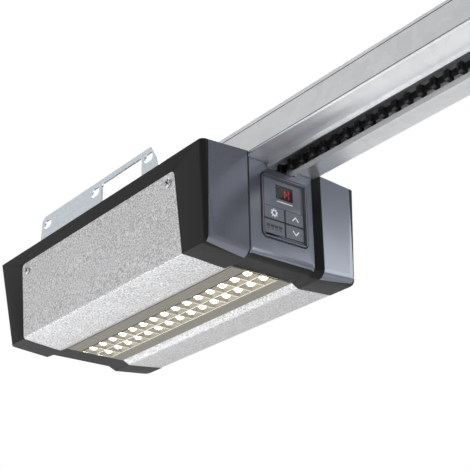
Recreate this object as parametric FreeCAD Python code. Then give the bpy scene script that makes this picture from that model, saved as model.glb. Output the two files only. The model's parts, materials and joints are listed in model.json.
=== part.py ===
import FreeCAD, Part
import math
import os

# Garage door opener: motor head, rail with toothed belt, trolley and door arm.
# Millimetres. The pieces are drawn in the head's frame: X = 0 at the front edge of the head's top,
# X along the rail towards the door, Y = 0 in the middle, Z = 0 on the head's top.
# On export everything moves to the row's frame, whose origin is the middle of the ceiling bracket holes.

V = FreeCAD.Vector

# ---- Driving dimensions ----
HEAD_LENGTH = 356.0          # along the top
HEAD_HALF_TOP = 89.0         # half width at the top
HEAD_HALF_BEND = 84.5        # half width at the fold between side and bottom
BEND_Z = -94.7               # height of that fold
LIP_Y = 42.0                 # inner edge of each bottom lobe
LIP_Z = -99.1
CHANNEL_Y = 34.0             # half width of the channel's flat ceiling
CHANNEL_Z = -94.9
RECESS_Y = 37.0              # half width of the recessed middle of the front
RECESS_X = -1.5
BLOCK_FRONT_X = 4.2          # most forward line of the front
REAR_SLOPE = 24.6 / 94.7     # the rear face leans forward towards the bottom
FRONT_BOTTOM_R = 9.0
CORNER_R = 5.0
WALL = 2.6
TOP_WALL = 5.0
FRONT_WALL = 9.0
SHEET = 1.2
SEAM = 0.35                  # open joint round the cover sheet

COVER_TOP_Z = -14.5
COVER_REAR_TOP_X = -308.5
COVER_REAR_X = -304.0
COVER_FRONT_TOP_X = -41.5
COVER_FRONT_X = -34.9
COVER_FRONT_MID_X = -30.4
TRAY_REAR_X = -298.0
TRAY_FRONT_X = -52.0

PANEL = 2.4                  # front panel skin
PANEL_GAP = 0.25
PANEL_OUTER_Y = 82.3
PANEL_RETURN = 8.0
PANEL_SPANS = (              # low and high Y of the left, middle and right panels
    (-PANEL_OUTER_Y, -LIP_Y - 0.6),
    (-RECESS_Y + 0.6, RECESS_Y - 0.6),
    (LIP_Y + 0.6, PANEL_OUTER_Y),
)

KEYPAD_W = 54.0
KEYPAD_H = 63.0
KEYPAD_Y = 3.0               # the key field sits a little off the middle
KEYPAD_Z = -43.0
KEYPAD_R = 6.0
CELL_SPANS = ((-20.0, 3.6), (4.6, 26.0))    # low and high Y of the left and right key cells
UPPER_CELLS = (-54.4, -41.9)
LOWER_CELLS = (-68.6, -55.4)
WINDOW_Y = 4.7
WINDOW_HALF_W = 9.9
WINDOW_LOW_Z = -32.3
WINDOW_HIGH_Z = -19.0

LENS_REAR_X = -301.5
LENS_HALF_W = 18.2
LENS_CELLS = 15
CELL = 18.04

RAIL_HALF_W = 40.5
RAIL_BOTTOM_Z = -2.0
RAIL_TOP_Z = 28.0
RAIL_T = 1.5
RAIL_SLOT = 14.35
RAIL_LIP = 3.8
RAIL_BEADS = ((23.2, 23.9), (-0.5, 0.1))    # fine grooves along the side walls
RAIL_REAR_X = -131.0
RAIL_LENGTH = 751.0
RAIL_END_X = RAIL_REAR_X + RAIL_LENGTH

BELT_Y = 13.85               # pitch radius of sprocket and idler
BELT_Z = 5.8
BELT_PITCH = 14.5
BELT_BAND = 2.4
BELT_H = 7.0
TOOTH_Y = 8.5
TOOTH_Z = 9.6
TOOTH_X = 6.0
DRIVE_X = -62.0
IDLER_X = 575.0
FORK_LOW_Z = -2.4

BRACKET_Y = 70.0
BRACKET_T = 2.0
BRACKET_TOP_Z = 41.5
BRACKET_HOLE_Z = 31.5
BRACKET_SLOT_L = 14.0
BRACKET_SLOT_W = 8.6
BRACKET_HOLE_X = (-292.5, -200.0, -107.5)

WORM_Y = 34.0
WORM_Z = -36.0
SHAFT_R = 6.0

INLET_Y = -45.0
INLET_Z = -50.0

TROLLEY_X = 500.0
TROLLEY_HALF = 47.0
ARM_LENGTH = 210.0
ARM_ANGLE = 55.0
ARM_Z = -16.0

ORIGIN = V(-200.0, 0.0, BRACKET_HOLE_Z)


# ---- Small tools ----
def box(x0, x1, y0, y1, z0, z1):
    return Part.makeBox(x1 - x0, y1 - y0, z1 - z0, V(x0, y0, z0))


def rod(x, y, z, radius, length, direction=V(0, 0, 1)):
    return Part.makeCylinder(radius, length, V(x, y, z), direction)


def tube(x, y, z, outer, inner, length, direction=V(0, 0, 1)):
    return rod(x, y, z, outer, length, direction).cut(rod(x, y, z, inner, length, direction))


def prism(points, direction):
    wire = Part.makePolygon(points + [points[0]])
    return Part.Face(wire).extrude(direction)


def rounded_slab(axis, centre, size_a, size_b, radius, depth):
    """Block with four rounded corners: size_a x size_b across the axis, depth along it."""
    half_a, half_b = size_a / 2, size_b / 2
    if axis == "X":
        slab = box(0, depth, -half_a, half_a, -half_b, half_b)
    elif axis == "Y":
        slab = box(-half_a, half_a, 0, depth, -half_b, half_b)
    else:
        slab = box(-half_a, half_a, -half_b, half_b, 0, depth)
    along = {"X": V(1, 0, 0), "Y": V(0, 1, 0), "Z": V(0, 0, 1)}[axis]
    corners = [e for e in slab.Edges if abs(abs(e.tangentAt(e.FirstParameter).dot(along)) - 1) < 1e-6]
    slab = slab.makeFillet(radius, corners)
    slab.translate(centre)
    return slab


def join(shapes):
    whole = shapes[0].multiFuse(shapes[1:]) if len(shapes) > 1 else shapes[0]
    return whole.removeSplitter()


def both_sides(shape):
    return [shape, shape.mirror(V(0, 0, 0), V(0, 1, 0))]


def save(node, shape):
    placed = shape.copy()
    placed.translate(ORIGIN.negative())
    solids = placed.Solids
    if not placed.isValid():
        print("INVALID", node)
    print(node, len(solids), "solid(s)", round(sum(s.Volume for s in solids) / 1000, 2), "cm3")
    placed.exportStep("parts/" + node + ".step")


# ---- The head's outer form ----
def rear_x(z):
    return -HEAD_LENGTH - REAR_SLOPE * z


def station(y, front, bottom, inset, top_inset, front_inset):
    """Side outline of the head at one distance from its middle plane."""
    low = bottom + inset
    high = -top_inset
    fore = front - front_inset
    radius = max(FRONT_BOTTOM_R - inset, 3.0)
    diagonal = radius * (1 - math.sqrt(0.5))
    a = V(rear_x(high) + inset, y, high)
    b = V(rear_x(low) + inset, y, low)
    c = V(fore - radius, y, low)
    middle = V(fore - diagonal, y, low + diagonal)
    d = V(fore, y, low + radius)
    e = V(fore, y, high)
    edges = [
        Part.makeLine(a, b),
        Part.makeLine(b, c),
        Part.Arc(c, middle, d).toShape(),
        Part.makeLine(d, e),
        Part.makeLine(e, a),
    ]
    return Part.Wire(edges)


def head_body(inset=0.0, top_inset=0.0, front_inset=0.0):
    """The head as one solid, or the space inside its walls when insets are given."""
    recess_z = CHANNEL_Z + (LIP_Z - CHANNEL_Z) * (RECESS_Y - CHANNEL_Y) / (LIP_Y - CHANNEL_Y)
    half = [
        (CHANNEL_Y, RECESS_X, CHANNEL_Z),
        (RECESS_Y, RECESS_X, recess_z),
        (LIP_Y, BLOCK_FRONT_X, LIP_Z),
        (HEAD_HALF_BEND, 0.3, BEND_Z),
        (HEAD_HALF_TOP + 1.5, -0.3, BEND_Z + 0.65),
    ]
    stations = [(-y, x, z) for y, x, z in reversed(half)] + half
    wires = [station(y, x, z, inset, top_inset, front_inset) for y, x, z in stations]
    pieces = [Part.makeLoft([wires[i], wires[i + 1]], True, True) for i in range(len(wires) - 1)]
    body = join(pieces)
    top_y = HEAD_HALF_TOP - inset
    low_y = top_y - (HEAD_HALF_TOP - HEAD_HALF_BEND) * 110.0 / -BEND_Z
    outline = [V(-400, -top_y, 0), V(-400, top_y, 0), V(-400, low_y, -110), V(-400, -low_y, -110)]
    return body.common(prism(outline, V(450, 0, 0))).Solids[0]


def corner_arc(centre_x, centre_y, towards_x, towards_y, z):
    """Quarter circle round an upright corner, listed from the side face to the end face."""
    diagonal = CORNER_R * math.sqrt(0.5)
    side = V(centre_x, centre_y + towards_y * CORNER_R, z)
    middle = V(centre_x + towards_x * diagonal, centre_y + towards_y * diagonal, z)
    end = V(centre_x + towards_x * CORNER_R, centre_y, z)
    return side, middle, end


def plan_outline(z):
    """Top view of the head at one height: a rectangle with rounded corners and room for the bowed front."""
    half = HEAD_HALF_TOP + (HEAD_HALF_TOP - HEAD_HALF_BEND) * z / -BEND_Z
    rear = rear_x(z)
    r = CORNER_R
    s1, m1, e1 = corner_arc(0.25 - r, -half + r, 1, -1, z)
    s2, m2, e2 = corner_arc(0.25 - r, half - r, 1, 1, z)
    s3, m3, e3 = corner_arc(rear + r, half - r, -1, 1, z)
    s4, m4, e4 = corner_arc(rear + r, -half + r, -1, -1, z)
    bow1, bow2 = V(9, -40, z), V(9, 40, z)
    edges = [
        Part.makeLine(s4, s1),
        Part.Arc(s1, m1, e1).toShape(),
        Part.makeLine(e1, bow1),
        Part.makeLine(bow1, bow2),
        Part.makeLine(bow2, e2),
        Part.Arc(e2, m2, s2).toShape(),
        Part.makeLine(s2, s3),
        Part.Arc(s3, m3, e3).toShape(),
        Part.makeLine(e3, e4),
        Part.Arc(e4, m4, s4).toShape(),
    ]
    return Part.Wire(edges)


def round_corners(body):
    """Round the four upright corners of the head."""
    envelope = Part.makeLoft([plan_outline(1.0), plan_outline(-110.0)], True, True)
    return body.common(envelope).Solids[0]


def cover_zone(grow):
    """The stretch of the head that the cover sheet takes, widened by grow on every edge."""
    front_slope = (COVER_FRONT_X - COVER_FRONT_TOP_X) / (BEND_Z - COVER_TOP_Z)
    rear_slope = (COVER_REAR_X - COVER_REAR_TOP_X) / (BEND_Z - COVER_TOP_Z)
    top = COVER_TOP_Z + grow
    low = BEND_Z + 0.5
    points = [
        V(COVER_REAR_TOP_X + rear_slope * (top - COVER_TOP_Z) - grow, -100, top),
        V(COVER_FRONT_TOP_X + front_slope * (top - COVER_TOP_Z) + grow, -100, top),
        V(COVER_FRONT_X + grow, -100, low),
        V(-20, -100, low),
        V(-20, -100, -115),
        V(COVER_REAR_X - grow, -100, -115),
        V(COVER_REAR_X - grow, -100, BEND_Z),
    ]
    side = prism(points, V(0, 200, 0))
    uppers = [
        e for e in side.Edges
        if abs(e.Vertexes[0].Point.z - top) < 0.01
        and abs(e.Vertexes[-1].Point.z - top) < 0.01
        and abs(e.Vertexes[0].Point.y - e.Vertexes[-1].Point.y) > 150
    ]
    side = side.makeFillet(max(5.0 + grow, 1.0), uppers)
    bow = Part.Arc(
        V(COVER_FRONT_X + grow, -HEAD_HALF_BEND, -120),
        V(COVER_FRONT_MID_X + grow, 0, -120),
        V(COVER_FRONT_X + grow, HEAD_HALF_BEND, -120),
    ).toShape()
    corners = [
        V(COVER_FRONT_X + grow, HEAD_HALF_BEND, -120),
        V(COVER_FRONT_X + grow, 110, -120),
        V(-400, 110, -120),
        V(-400, -110, -120),
        V(COVER_FRONT_X + grow, -110, -120),
        V(COVER_FRONT_X + grow, -HEAD_HALF_BEND, -120),
    ]
    plan = Part.Wire([bow] + [Part.makeLine(corners[i], corners[i + 1]) for i in range(5)])
    return side.common(Part.Face(plan).extrude(V(0, 0, 140)))


# ---- Rail seat, key field and lamp openings that several pieces share ----
def rail_seat():
    wide = box(RAIL_REAR_X - 0.6, 30, -RAIL_HALF_W - 0.7, RAIL_HALF_W + 0.7, RAIL_BOTTOM_Z - 0.3, 5)
    narrow = box(RAIL_REAR_X - 0.6, 30, -RAIL_SLOT - 2.4, RAIL_SLOT + 2.4, RAIL_BOTTOM_Z - RAIL_LIP - 0.8, 5)
    return join([wide, narrow])


def panel_zone(y0, y1, body, grow):
    """Skin on the front face between y0 and y1, turned under the bottom edge."""
    slab = box(BLOCK_FRONT_X - PANEL_RETURN - grow, 30, y0 - grow, y1 + grow, -120, 1)
    inner = body.copy()
    inner.translate(V(-PANEL - grow, 0, PANEL + grow))
    return body.common(slab).cut(inner)


def bracket_screw_places():
    places = []
    for x in (-290.0, -110.0):
        for y in (-56.0, 56.0):
            places.append((x, y))
    return places


def housing(body):
    """Front cap, rear cap and base tray: the dark shell round the cover sheet."""
    cavity = head_body(WALL, TOP_WALL, FRONT_WALL)
    shell = body.cut(cavity)
    ledge = head_body(SHEET + 0.3, 3.0, 3.0).cut(cavity)
    ledge = ledge.common(cover_zone(SEAM)).cut(cover_zone(-5.0))
    dark = join([shell.cut(cover_zone(SEAM)), ledge])
    dark = dark.cut(rail_seat())
    lamp_y = LENS_HALF_W + 4.8
    dark = dark.cut(box(LENS_REAR_X - 2, COVER_FRONT_MID_X + 0.2, -lamp_y, lamp_y, -97, -85))
    cuts = box(TRAY_REAR_X, TRAY_FRONT_X, -100, 100, -17, 5)
    tray = dark.common(cuts)
    rest = dark.cut(box(TRAY_REAR_X - 0.05, TRAY_FRONT_X + 0.05, -100, 100, -17, 5))
    front = rest.common(box(-150, 30, -100, 100, -130, 5))
    rear = rest.common(box(-400, -150, -100, 100, -130, 5))
    return front, rear, tray


def keypad_slab(x, smaller, radius, depth):
    """Rounded block on the key field's middle, smaller than the field by the given amount."""
    return rounded_slab("X", V(x, KEYPAD_Y, KEYPAD_Z), KEYPAD_W - smaller, KEYPAD_H - smaller, radius, depth)


def front_cap(shape, body):
    for y0, y1 in PANEL_SPANS:
        shape = shape.cut(panel_zone(y0, y1, body, PANEL_GAP))
    seat = keypad_slab(-7.0, 0.8, KEYPAD_R - 0.4, 30)
    opening = keypad_slab(-40, 6, 3.0, 60)
    return shape.cut(seat).cut(opening)


def front_panel(span, body):
    return panel_zone(*span, body, 0).cut(rail_seat())


def middle_panel(body):
    skin = front_panel(PANEL_SPANS[1], body)
    return skin.cut(keypad_slab(-20, 0, KEYPAD_R, 40))


def cover_sheet(body):
    sheet = body.cut(head_body(SHEET, -1.0, SHEET)).common(cover_zone(0))
    lamp = box(LENS_REAR_X - 0.5, COVER_FRONT_MID_X + 1, -LENS_HALF_W - 0.6, LENS_HALF_W + 0.6, -97, -85)
    for x in (-297.0, -50.0):
        sheet = sheet.cut(rod(x, -100, -23.5, 2.3, 200, V(0, 1, 0)))
    return sheet.cut(lamp)


def cover_screws():
    made = []
    for x in (-297.0, -50.0):
        head = rod(x, 0, -23.5, 4.2, 1.6, V(0, 1, 0))
        socket = rod(x, 0.5, -23.5, 1.7, 1.2, V(0, 1, 0))
        shank = rod(x, -7.0, -23.5, 2.0, 7.0, V(0, 1, 0))
        screw = join([head.cut(socket), shank])
        screw.translate(V(0, 88.2, 0))
        made += both_sides(screw)
    return Part.makeCompound(made)


# ---- Key field ----
def keypad_bezel():
    return keypad_slab(-6.6, 1.4, KEYPAD_R - 0.7, 6.0).cut(keypad_slab(-8.0, 6.4, 1.0, 9.0))


def cell_bounds():
    """Key field cells as (low y, high y, low z, high z)."""
    left, right = CELL_SPANS
    return {
        "programme": left + UPPER_CELLS,
        "pictogram": left + LOWER_CELLS,
        "up": right + UPPER_CELLS,
        "down": right + LOWER_CELLS,
    }


def keypad_plate():
    plate = keypad_slab(-6.6, 6.9, 0.8, 3.6)
    for y0, y1, z0, z1 in cell_bounds().values():
        plate = plate.cut(box(-10, 0, y0, y1, z0, z1))
    y0, y1 = WINDOW_Y - WINDOW_HALF_W - 0.1, WINDOW_Y + WINDOW_HALF_W + 0.1
    return plate.cut(box(-10, 0, y0, y1, WINDOW_LOW_Z - 0.1, WINDOW_HIGH_Z + 0.1))


def key(name):
    y0, y1, z0, z1 = cell_bounds()[name]
    cap = box(-5.4, -2.4, y0 + 0.3, y1 - 0.3, z0 + 0.3, z1 - 0.3)
    middle_y, middle_z = (y0 + y1) / 2, (z0 + z1) / 2
    stem = box(-7.4, -5.4, middle_y - 2, middle_y + 2, middle_z - 2, middle_z + 2)
    return join([cap, stem])


def pictogram_plate():
    y0, y1, z0, z1 = cell_bounds()["pictogram"]
    return box(-5.0, -2.7, y0 + 0.1, y1 - 0.1, z0 + 0.1, z1 - 0.1)


def display_window():
    return box(-5.0, -3.2, WINDOW_Y - WINDOW_HALF_W, WINDOW_Y + WINDOW_HALF_W, WINDOW_LOW_Z, WINDOW_HIGH_Z)


def display_board():
    board = box(-11.2, -9.6, KEYPAD_Y - 22, KEYPAD_Y + 22, -70, -16)
    display = box(-9.6, -5.3, WINDOW_Y - 9, WINDOW_Y + 9, WINDOW_LOW_Z + 1, WINDOW_HIGH_Z - 1)
    return join([board, display])


# ---- Lamp ----
def led_frame():
    plate = box(COVER_REAR_X + 0.5, COVER_FRONT_MID_X - 0.6, -CHANNEL_Y + 0.4, CHANNEL_Y - 0.4, -95.7, -95.0)
    hole = box(LENS_REAR_X - 0.2, COVER_FRONT_MID_X, -LENS_HALF_W - 0.2, LENS_HALF_W + 0.2, -97, -94)
    return plate.cut(hole).common(cover_zone(-0.3))


def led_lens():
    length = LENS_CELLS * CELL
    return box(LENS_REAR_X, LENS_REAR_X + length, -LENS_HALF_W, LENS_HALF_W, -96.2, -95.2)


def cell_centres():
    centres = []
    for i in range(LENS_CELLS):
        for y in (-LENS_HALF_W / 2, LENS_HALF_W / 2):
            centres.append((LENS_REAR_X + (i + 0.5) * CELL, y))
    return centres


def square_wire(x, y, z, half):
    corners = [V(x + half * a, y + half * b, z) for a, b in ((-1, -1), (1, -1), (1, 1), (-1, 1))]
    return Part.makePolygon(corners + [corners[0]])


def led_reflector():
    body = box(LENS_REAR_X, LENS_REAR_X + LENS_CELLS * CELL, -LENS_HALF_W, LENS_HALF_W, -95.0, -89.0)
    pockets = []
    for x, y in cell_centres():
        mouth, throat = 8.2, 2.2
        wires = []
        for half, z in ((mouth, -95.01), (throat, -88.99)):
            wires.append(square_wire(x, y, z, half))
        pockets.append(Part.makeLoft(wires, True, True))
    return body.cut(Part.makeCompound(pockets))


def led_board():
    return box(LENS_REAR_X, LENS_REAR_X + LENS_CELLS * CELL, -LENS_HALF_W - 4, LENS_HALF_W + 4, -88.9, -87.3)


def led_emitters():
    half = 1.7
    made = [box(x - half, x + half, y - half, y + half, -90.0, -88.9) for x, y in cell_centres()]
    return Part.makeCompound(made)


# ---- Chassis, brackets and rail ----
def base_tray(shape):
    for x, y in bracket_screw_places():
        shape = join([shape, rod(x, y, -7.2, 6.0, 3.0)])
        shape = shape.cut(rod(x, y, -10, 3.2, 20))
    return shape.cut(rod(DRIVE_X, 0, -10, 18.5, 20))


def chassis_plate():
    plate = box(-320, -24, -70, 70, -9.3, -7.3)
    plate = plate.cut(rod(DRIVE_X, 0, -12, 14.0, 8))
    for x, y in bracket_screw_places():
        plate = plate.cut(rod(x, y, -12, 3.2, 8))
    return plate


def ceiling_bracket():
    """Angle bracket on the -Y side: an upright plate on a flange."""
    corners = ((-308, 0), (-86, 0), (-93, 26), (-103, BRACKET_TOP_Z), (-299, BRACKET_TOP_Z), (-304, 38))
    plate = prism([V(x, 0, z) for x, z in corners], V(0, BRACKET_T, 0))
    plate.translate(V(0, -BRACKET_Y, 0))
    for x in BRACKET_HOLE_X:
        middle = V(x, -BRACKET_Y - 1, BRACKET_HOLE_Z)
        slot = rounded_slab("Y", middle, BRACKET_SLOT_L, BRACKET_SLOT_W, BRACKET_SLOT_W / 2 - 0.05, 5)
        plate = plate.cut(slot)
    window = rounded_slab("Y", V(-154, -BRACKET_Y - 1, 21), 70.0, 30.0, 4.0, 5)
    plate = plate.cut(window)
    flange = box(-308, -86, -BRACKET_Y, -44, 0, BRACKET_T)
    for x, y in bracket_screw_places():
        flange = flange.cut(rod(x, y, -2, 3.2, 8))
    return join([plate, flange])


def hexagon(radius):
    """Corners of a hexagon as pairs, about zero."""
    angles = [math.radians(60 * i) for i in range(6)]
    return [(radius * math.cos(a), radius * math.sin(a)) for a in angles]


def bracket_screws():
    made = []
    for x, y in bracket_screw_places():
        head = prism([V(x + a, y + b, BRACKET_T) for a, b in hexagon(5.8)], V(0, 0, 4))
        made.append(join([head, rod(x, y, -13, 3.0, 15.5)]))
    return Part.makeCompound(made)


def rail():
    """Roll-formed channel, open downwards, with turned-down lips and a bead line under its top edge."""
    outer = box(RAIL_REAR_X, RAIL_END_X, -RAIL_HALF_W, RAIL_HALF_W, RAIL_BOTTOM_Z, RAIL_TOP_Z)
    inner = box(
        RAIL_REAR_X - 1, RAIL_END_X + 1, -RAIL_HALF_W + RAIL_T, RAIL_HALF_W - RAIL_T,
        RAIL_BOTTOM_Z + RAIL_T, RAIL_TOP_Z - RAIL_T,
    )
    mouth = box(RAIL_REAR_X - 1, RAIL_END_X + 1, -RAIL_SLOT, RAIL_SLOT, -20, 5)
    long_edges = [
        e for e in outer.Edges
        if abs(e.Vertexes[0].Point.x - e.Vertexes[-1].Point.x) > 100
    ]
    shape = outer.makeFillet(1.2, long_edges).cut(inner).cut(mouth)
    lip_low, lip_high = RAIL_BOTTOM_Z - RAIL_LIP, RAIL_BOTTOM_Z + RAIL_T
    lip = box(RAIL_REAR_X, RAIL_END_X, RAIL_SLOT, RAIL_SLOT + RAIL_T, lip_low, lip_high)
    shape = join([shape] + both_sides(lip))
    for low, high in RAIL_BEADS:
        groove = box(RAIL_REAR_X - 1, RAIL_END_X + 1, RAIL_HALF_W - 0.5, RAIL_HALF_W + 1, low, high)
        for cutter in both_sides(groove):
            shape = shape.cut(cutter)
    for y in (-28.0, 28.0):
        shape = shape.cut(rod(-100, y, 20, 3.3, 12))
    for y in (-28.0, 28.0):
        shape = shape.cut(rod(RAIL_END_X - 9, y, 20, 3.3, 12))
    return shape


def rail_clamp():
    """Saddle over the rail's end on the head."""
    x0, x1 = -124.0, -96.0
    top = box(x0, x1, -42.6, 42.6, RAIL_TOP_Z + 0.1, RAIL_TOP_Z + 2.1)
    legs = both_sides(box(x0, x1, 40.8, 42.6, 0.0, RAIL_TOP_Z + 2.1))
    shape = join([top] + legs)
    for y in (-28.0, 28.0):
        shape = shape.cut(rod(-100, y, 20, 3.3, 20))
    return shape


def pan_screw(x, y, seat_z, shank):
    return join([rod(x, y, seat_z, 5.6, 3.4), rod(x, y, RAIL_TOP_Z - 3.5, 3.0, shank)])


def clamp_screws():
    made = []
    for y in (-28.0, 28.0):
        made.append(pan_screw(-100, y, RAIL_TOP_Z + 2.1, 6))
    return Part.makeCompound(made)


# ---- Belt drive ----
def belt_tooth(x, y):
    low = V(x - TOOTH_X / 2, y - TOOTH_Y / 2, BELT_Z - TOOTH_Z / 2)
    return Part.makeBox(TOOTH_X, TOOTH_Y, TOOTH_Z, low)


def stadium(radius, height):
    z = BELT_Z - height / 2
    straight = box(DRIVE_X, IDLER_X, -radius, radius, z, z + height)
    return join([straight, rod(DRIVE_X, 0, z, radius, height), rod(IDLER_X, 0, z, radius, height)])


def drive_belt():
    band = stadium(BELT_Y + BELT_BAND / 2, BELT_H).cut(stadium(BELT_Y - BELT_BAND / 2, BELT_H))
    teeth = []
    count = int((IDLER_X - DRIVE_X) // BELT_PITCH)
    for i in range(count + 1):
        for y in (-BELT_Y, BELT_Y):
            teeth.append(belt_tooth(DRIVE_X + 3 + i * BELT_PITCH, y))
    for x, turn in ((DRIVE_X, 1), (IDLER_X, -1)):
        for angle in (120, 180, 240):
            tooth = belt_tooth(0, BELT_Y)
            tooth.rotate(V(0, 0, 0), V(0, 0, 1), angle - 90 * turn)
            tooth.translate(V(x, 0, 0))
            teeth.append(tooth)
    return join([band] + teeth)


def belt_pulley(x, bore):
    """Flanged pulley that the belt's inner teeth lie around."""
    core = rod(x, 0, BELT_Z - 5.0, 9.2, 10.0)
    low = rod(x, 0, BELT_Z - 6.0, 17.0, 1.0)
    high = rod(x, 0, BELT_Z + 5.0, 17.0, 1.5)
    return join([core, low, high]).cut(rod(x, 0, -5, bore, 40))


def drive_shaft():
    return join([rod(DRIVE_X, 0, -54, SHAFT_R, 74), rod(DRIVE_X, 0, 15.7, 8.0, 2.0)])


def worm_wheel():
    wheel = rod(DRIVE_X, 0, WORM_Z - 6, 25.4, 12)
    for i in range(40):
        gash = box(24.0, 27.0, -0.9, 0.9, WORM_Z - 7, WORM_Z + 7)
        gash.rotate(V(0, 0, 0), V(0, 0, 1), i * 9.0)
        gash.translate(V(DRIVE_X, 0, 0))
        wheel = wheel.cut(gash)
    for i in range(5):
        hole = rod(15.5, 0, WORM_Z - 7, 4.0, 14)
        hole.rotate(V(0, 0, 0), V(0, 0, 1), i * 72.0)
        hole.translate(V(DRIVE_X, 0, 0))
        wheel = wheel.cut(hole)
    return wheel.cut(rod(DRIVE_X, 0, -60, SHAFT_R + 0.02, 60))


def bearing(z):
    return tube(DRIVE_X, 0, z, 13.0, SHAFT_R + 0.05, 6)


def gearbox_parts():
    x0, x1, y0, y1 = -108.0, -28.0, -31.0, 49.0
    outer = box(x0, x1, y0, y1, -58, -14)
    upright = [e for e in outer.Edges if abs(e.Vertexes[0].Point.z - e.Vertexes[-1].Point.z) > 20]
    outer = outer.makeFillet(8, upright)
    hollow = box(x0 + 4, x1 - 4, y0 + 4, y1 - 4, -51, -19)
    shape = outer.cut(hollow)
    shape = shape.cut(rod(DRIVE_X, 0, -60, 13.02, 50))
    shape = shape.cut(rod(x0 - 1, WORM_Y, WORM_Z, 5.05, 100, V(1, 0, 0)))
    shape = join([shape, rod(DRIVE_X, 0, -58, 15, 1.5)])
    lower = shape.cut(box(x0 - 1, x1 + 1, y0 - 1, y1 + 1, -22, 0))
    cover = shape.common(box(x0 - 1, x1 + 1, y0 - 1, y1 + 1, -21.9, 0))
    return lower, cover


def motor_can():
    body = rod(-232, WORM_Y, WORM_Z, 26.5, 118, V(1, 0, 0))
    hollow = rod(-229, WORM_Y, WORM_Z, 23.5, 112, V(1, 0, 0))
    nose = rod(-114, WORM_Y, WORM_Z, 12, 5.9, V(1, 0, 0))
    return join([body.cut(hollow), nose]).cut(rod(-240, WORM_Y, WORM_Z, 5.05, 140, V(1, 0, 0)))


def motor_rotor():
    return tube(-190, WORM_Y, WORM_Z, 14, 5.02, 45, V(1, 0, 0))


def worm_shaft():
    shaft = rod(-231, WORM_Y, WORM_Z, 5.0, 200, V(1, 0, 0))
    worm = rod(-82, WORM_Y, WORM_Z, 8.0, 40, V(1, 0, 0))
    for i in range(9):
        worm = worm.cut(tube(-80 + i * 4.2, WORM_Y, WORM_Z, 10, 7.0, 1.6, V(1, 0, 0)))
    return join([shaft, worm])


# ---- Electrics ----
def transformer():
    core = box(-322, -262, -48, 12, -62, -14)
    coil = box(-317, -267, -56, 20, -56, -20)
    feet = box(-326, -258, -48, 12, -14, -12)
    return join([core, coil, feet])


def control_board():
    return box(-250, -60, -72, -36, -74, -72.4)


def board_parts():
    made = [box(-240, -214, -66, -46, -72.4, -56), box(-206, -180, -66, -46, -72.4, -56)]
    for x in (-160, -140):
        made.append(rod(x, -54, -72.4, 8, 22))
    made.append(box(-120, -84, -68, -40, -72.4, -66))
    made.append(box(-172, -168, -70, -38, -72.4, -60))
    return Part.makeCompound(made)


def lean_to_rear_face(shape):
    """Put a shape drawn about the inlet's centre onto the leaning rear face."""
    shape.rotate(V(0, 0, 0), V(0, 1, 0), -math.degrees(math.atan(REAR_SLOPE)))
    shape.translate(V(rear_x(INLET_Z) + 1.5, INLET_Y, INLET_Z))
    return shape


def mains_inlet():
    """Inlet socket in the rear face."""
    shape = box(-14, 1.8, -14, 14, -10, 10)
    shape = shape.cut(box(-20, -3, -12, 12, -8, 8))
    for y in (-7, 0, 7):
        shape = shape.cut(box(-4, 0.0, y - 1.2, y + 1.2, -3.5, 3.5))
    return lean_to_rear_face(shape)


def inlet_hole():
    return lean_to_rear_face(box(-16, 20, -14.2, 14.2, -10.2, 10.2))


# ---- Trolley and door arm ----
def trolley_body():
    x0, x1 = TROLLEY_X - TROLLEY_HALF, TROLLEY_X + TROLLEY_HALF
    bridge = box(x0, x1, -34, 34, 16.5, 23.5)
    wings = both_sides(box(x0, x1, 22, 34, 2.5, 23.5))
    neck = box(x0 + 4, x1 - 4, -8.0, 8.0, -12, 17)
    foot = box(x0 + 4, x1 - 4, -19, 19, -26, -8)
    foot_edges = [e for e in foot.Edges if abs(e.Vertexes[0].Point.z - e.Vertexes[-1].Point.z) > 10]
    foot = foot.makeFillet(6, foot_edges)
    shape = join([bridge, neck, foot] + wings)
    shape = shape.cut(box(TROLLEY_X - 15, x1, -4.0, 4.0, -40, -2))
    shape = shape.cut(box(x0, TROLLEY_X - 22, -5.3, 5.3, -40, -11))
    shape = shape.cut(rod(TROLLEY_X + 14, -30, ARM_Z, 4.02, 60, V(0, 1, 0)))
    return shape.cut(rod(TROLLEY_X - 33, -30, -19, 2.52, 60, V(0, 1, 0)))


def trolley_pads():
    made = []
    for x in (TROLLEY_X - 40, TROLLEY_X + 22):
        upper = box(x, x + 18, 34.02, 38.4, 4, 22)
        lower = box(x, x + 18, 24, 33, 0.1, 2.48)
        made += both_sides(upper) + both_sides(lower)
    return Part.makeCompound(made)


def belt_coupler():
    return box(TROLLEY_X - 14, TROLLEY_X + 14, 8.02, 13.4, -6.5, 0.7)


def release_lever():
    x, z = TROLLEY_X - 33, -19
    hub = rod(x, -4.8, z, 6.0, 9.6, V(0, 1, 0))
    blade = box(x - 4.5, x + 4.5, -3.0, 3.0, z - 40, z)
    eye = rod(x, -3.0, z - 42, 8.0, 6.0, V(0, 1, 0))
    shape = join([hub, blade, eye])
    shape = shape.cut(rod(x, -6, z - 42, 4.0, 12, V(0, 1, 0)))
    return shape.cut(rod(x, -10, z, 2.55, 20, V(0, 1, 0)))


def lever_pin():
    return rod(TROLLEY_X - 33, -18, -19, 2.5, 36, V(0, 1, 0))


def arm_frame_point(distance):
    angle = math.radians(ARM_ANGLE)
    return V(TROLLEY_X + 14 + distance * math.cos(angle), 0, ARM_Z - distance * math.sin(angle))


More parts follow.
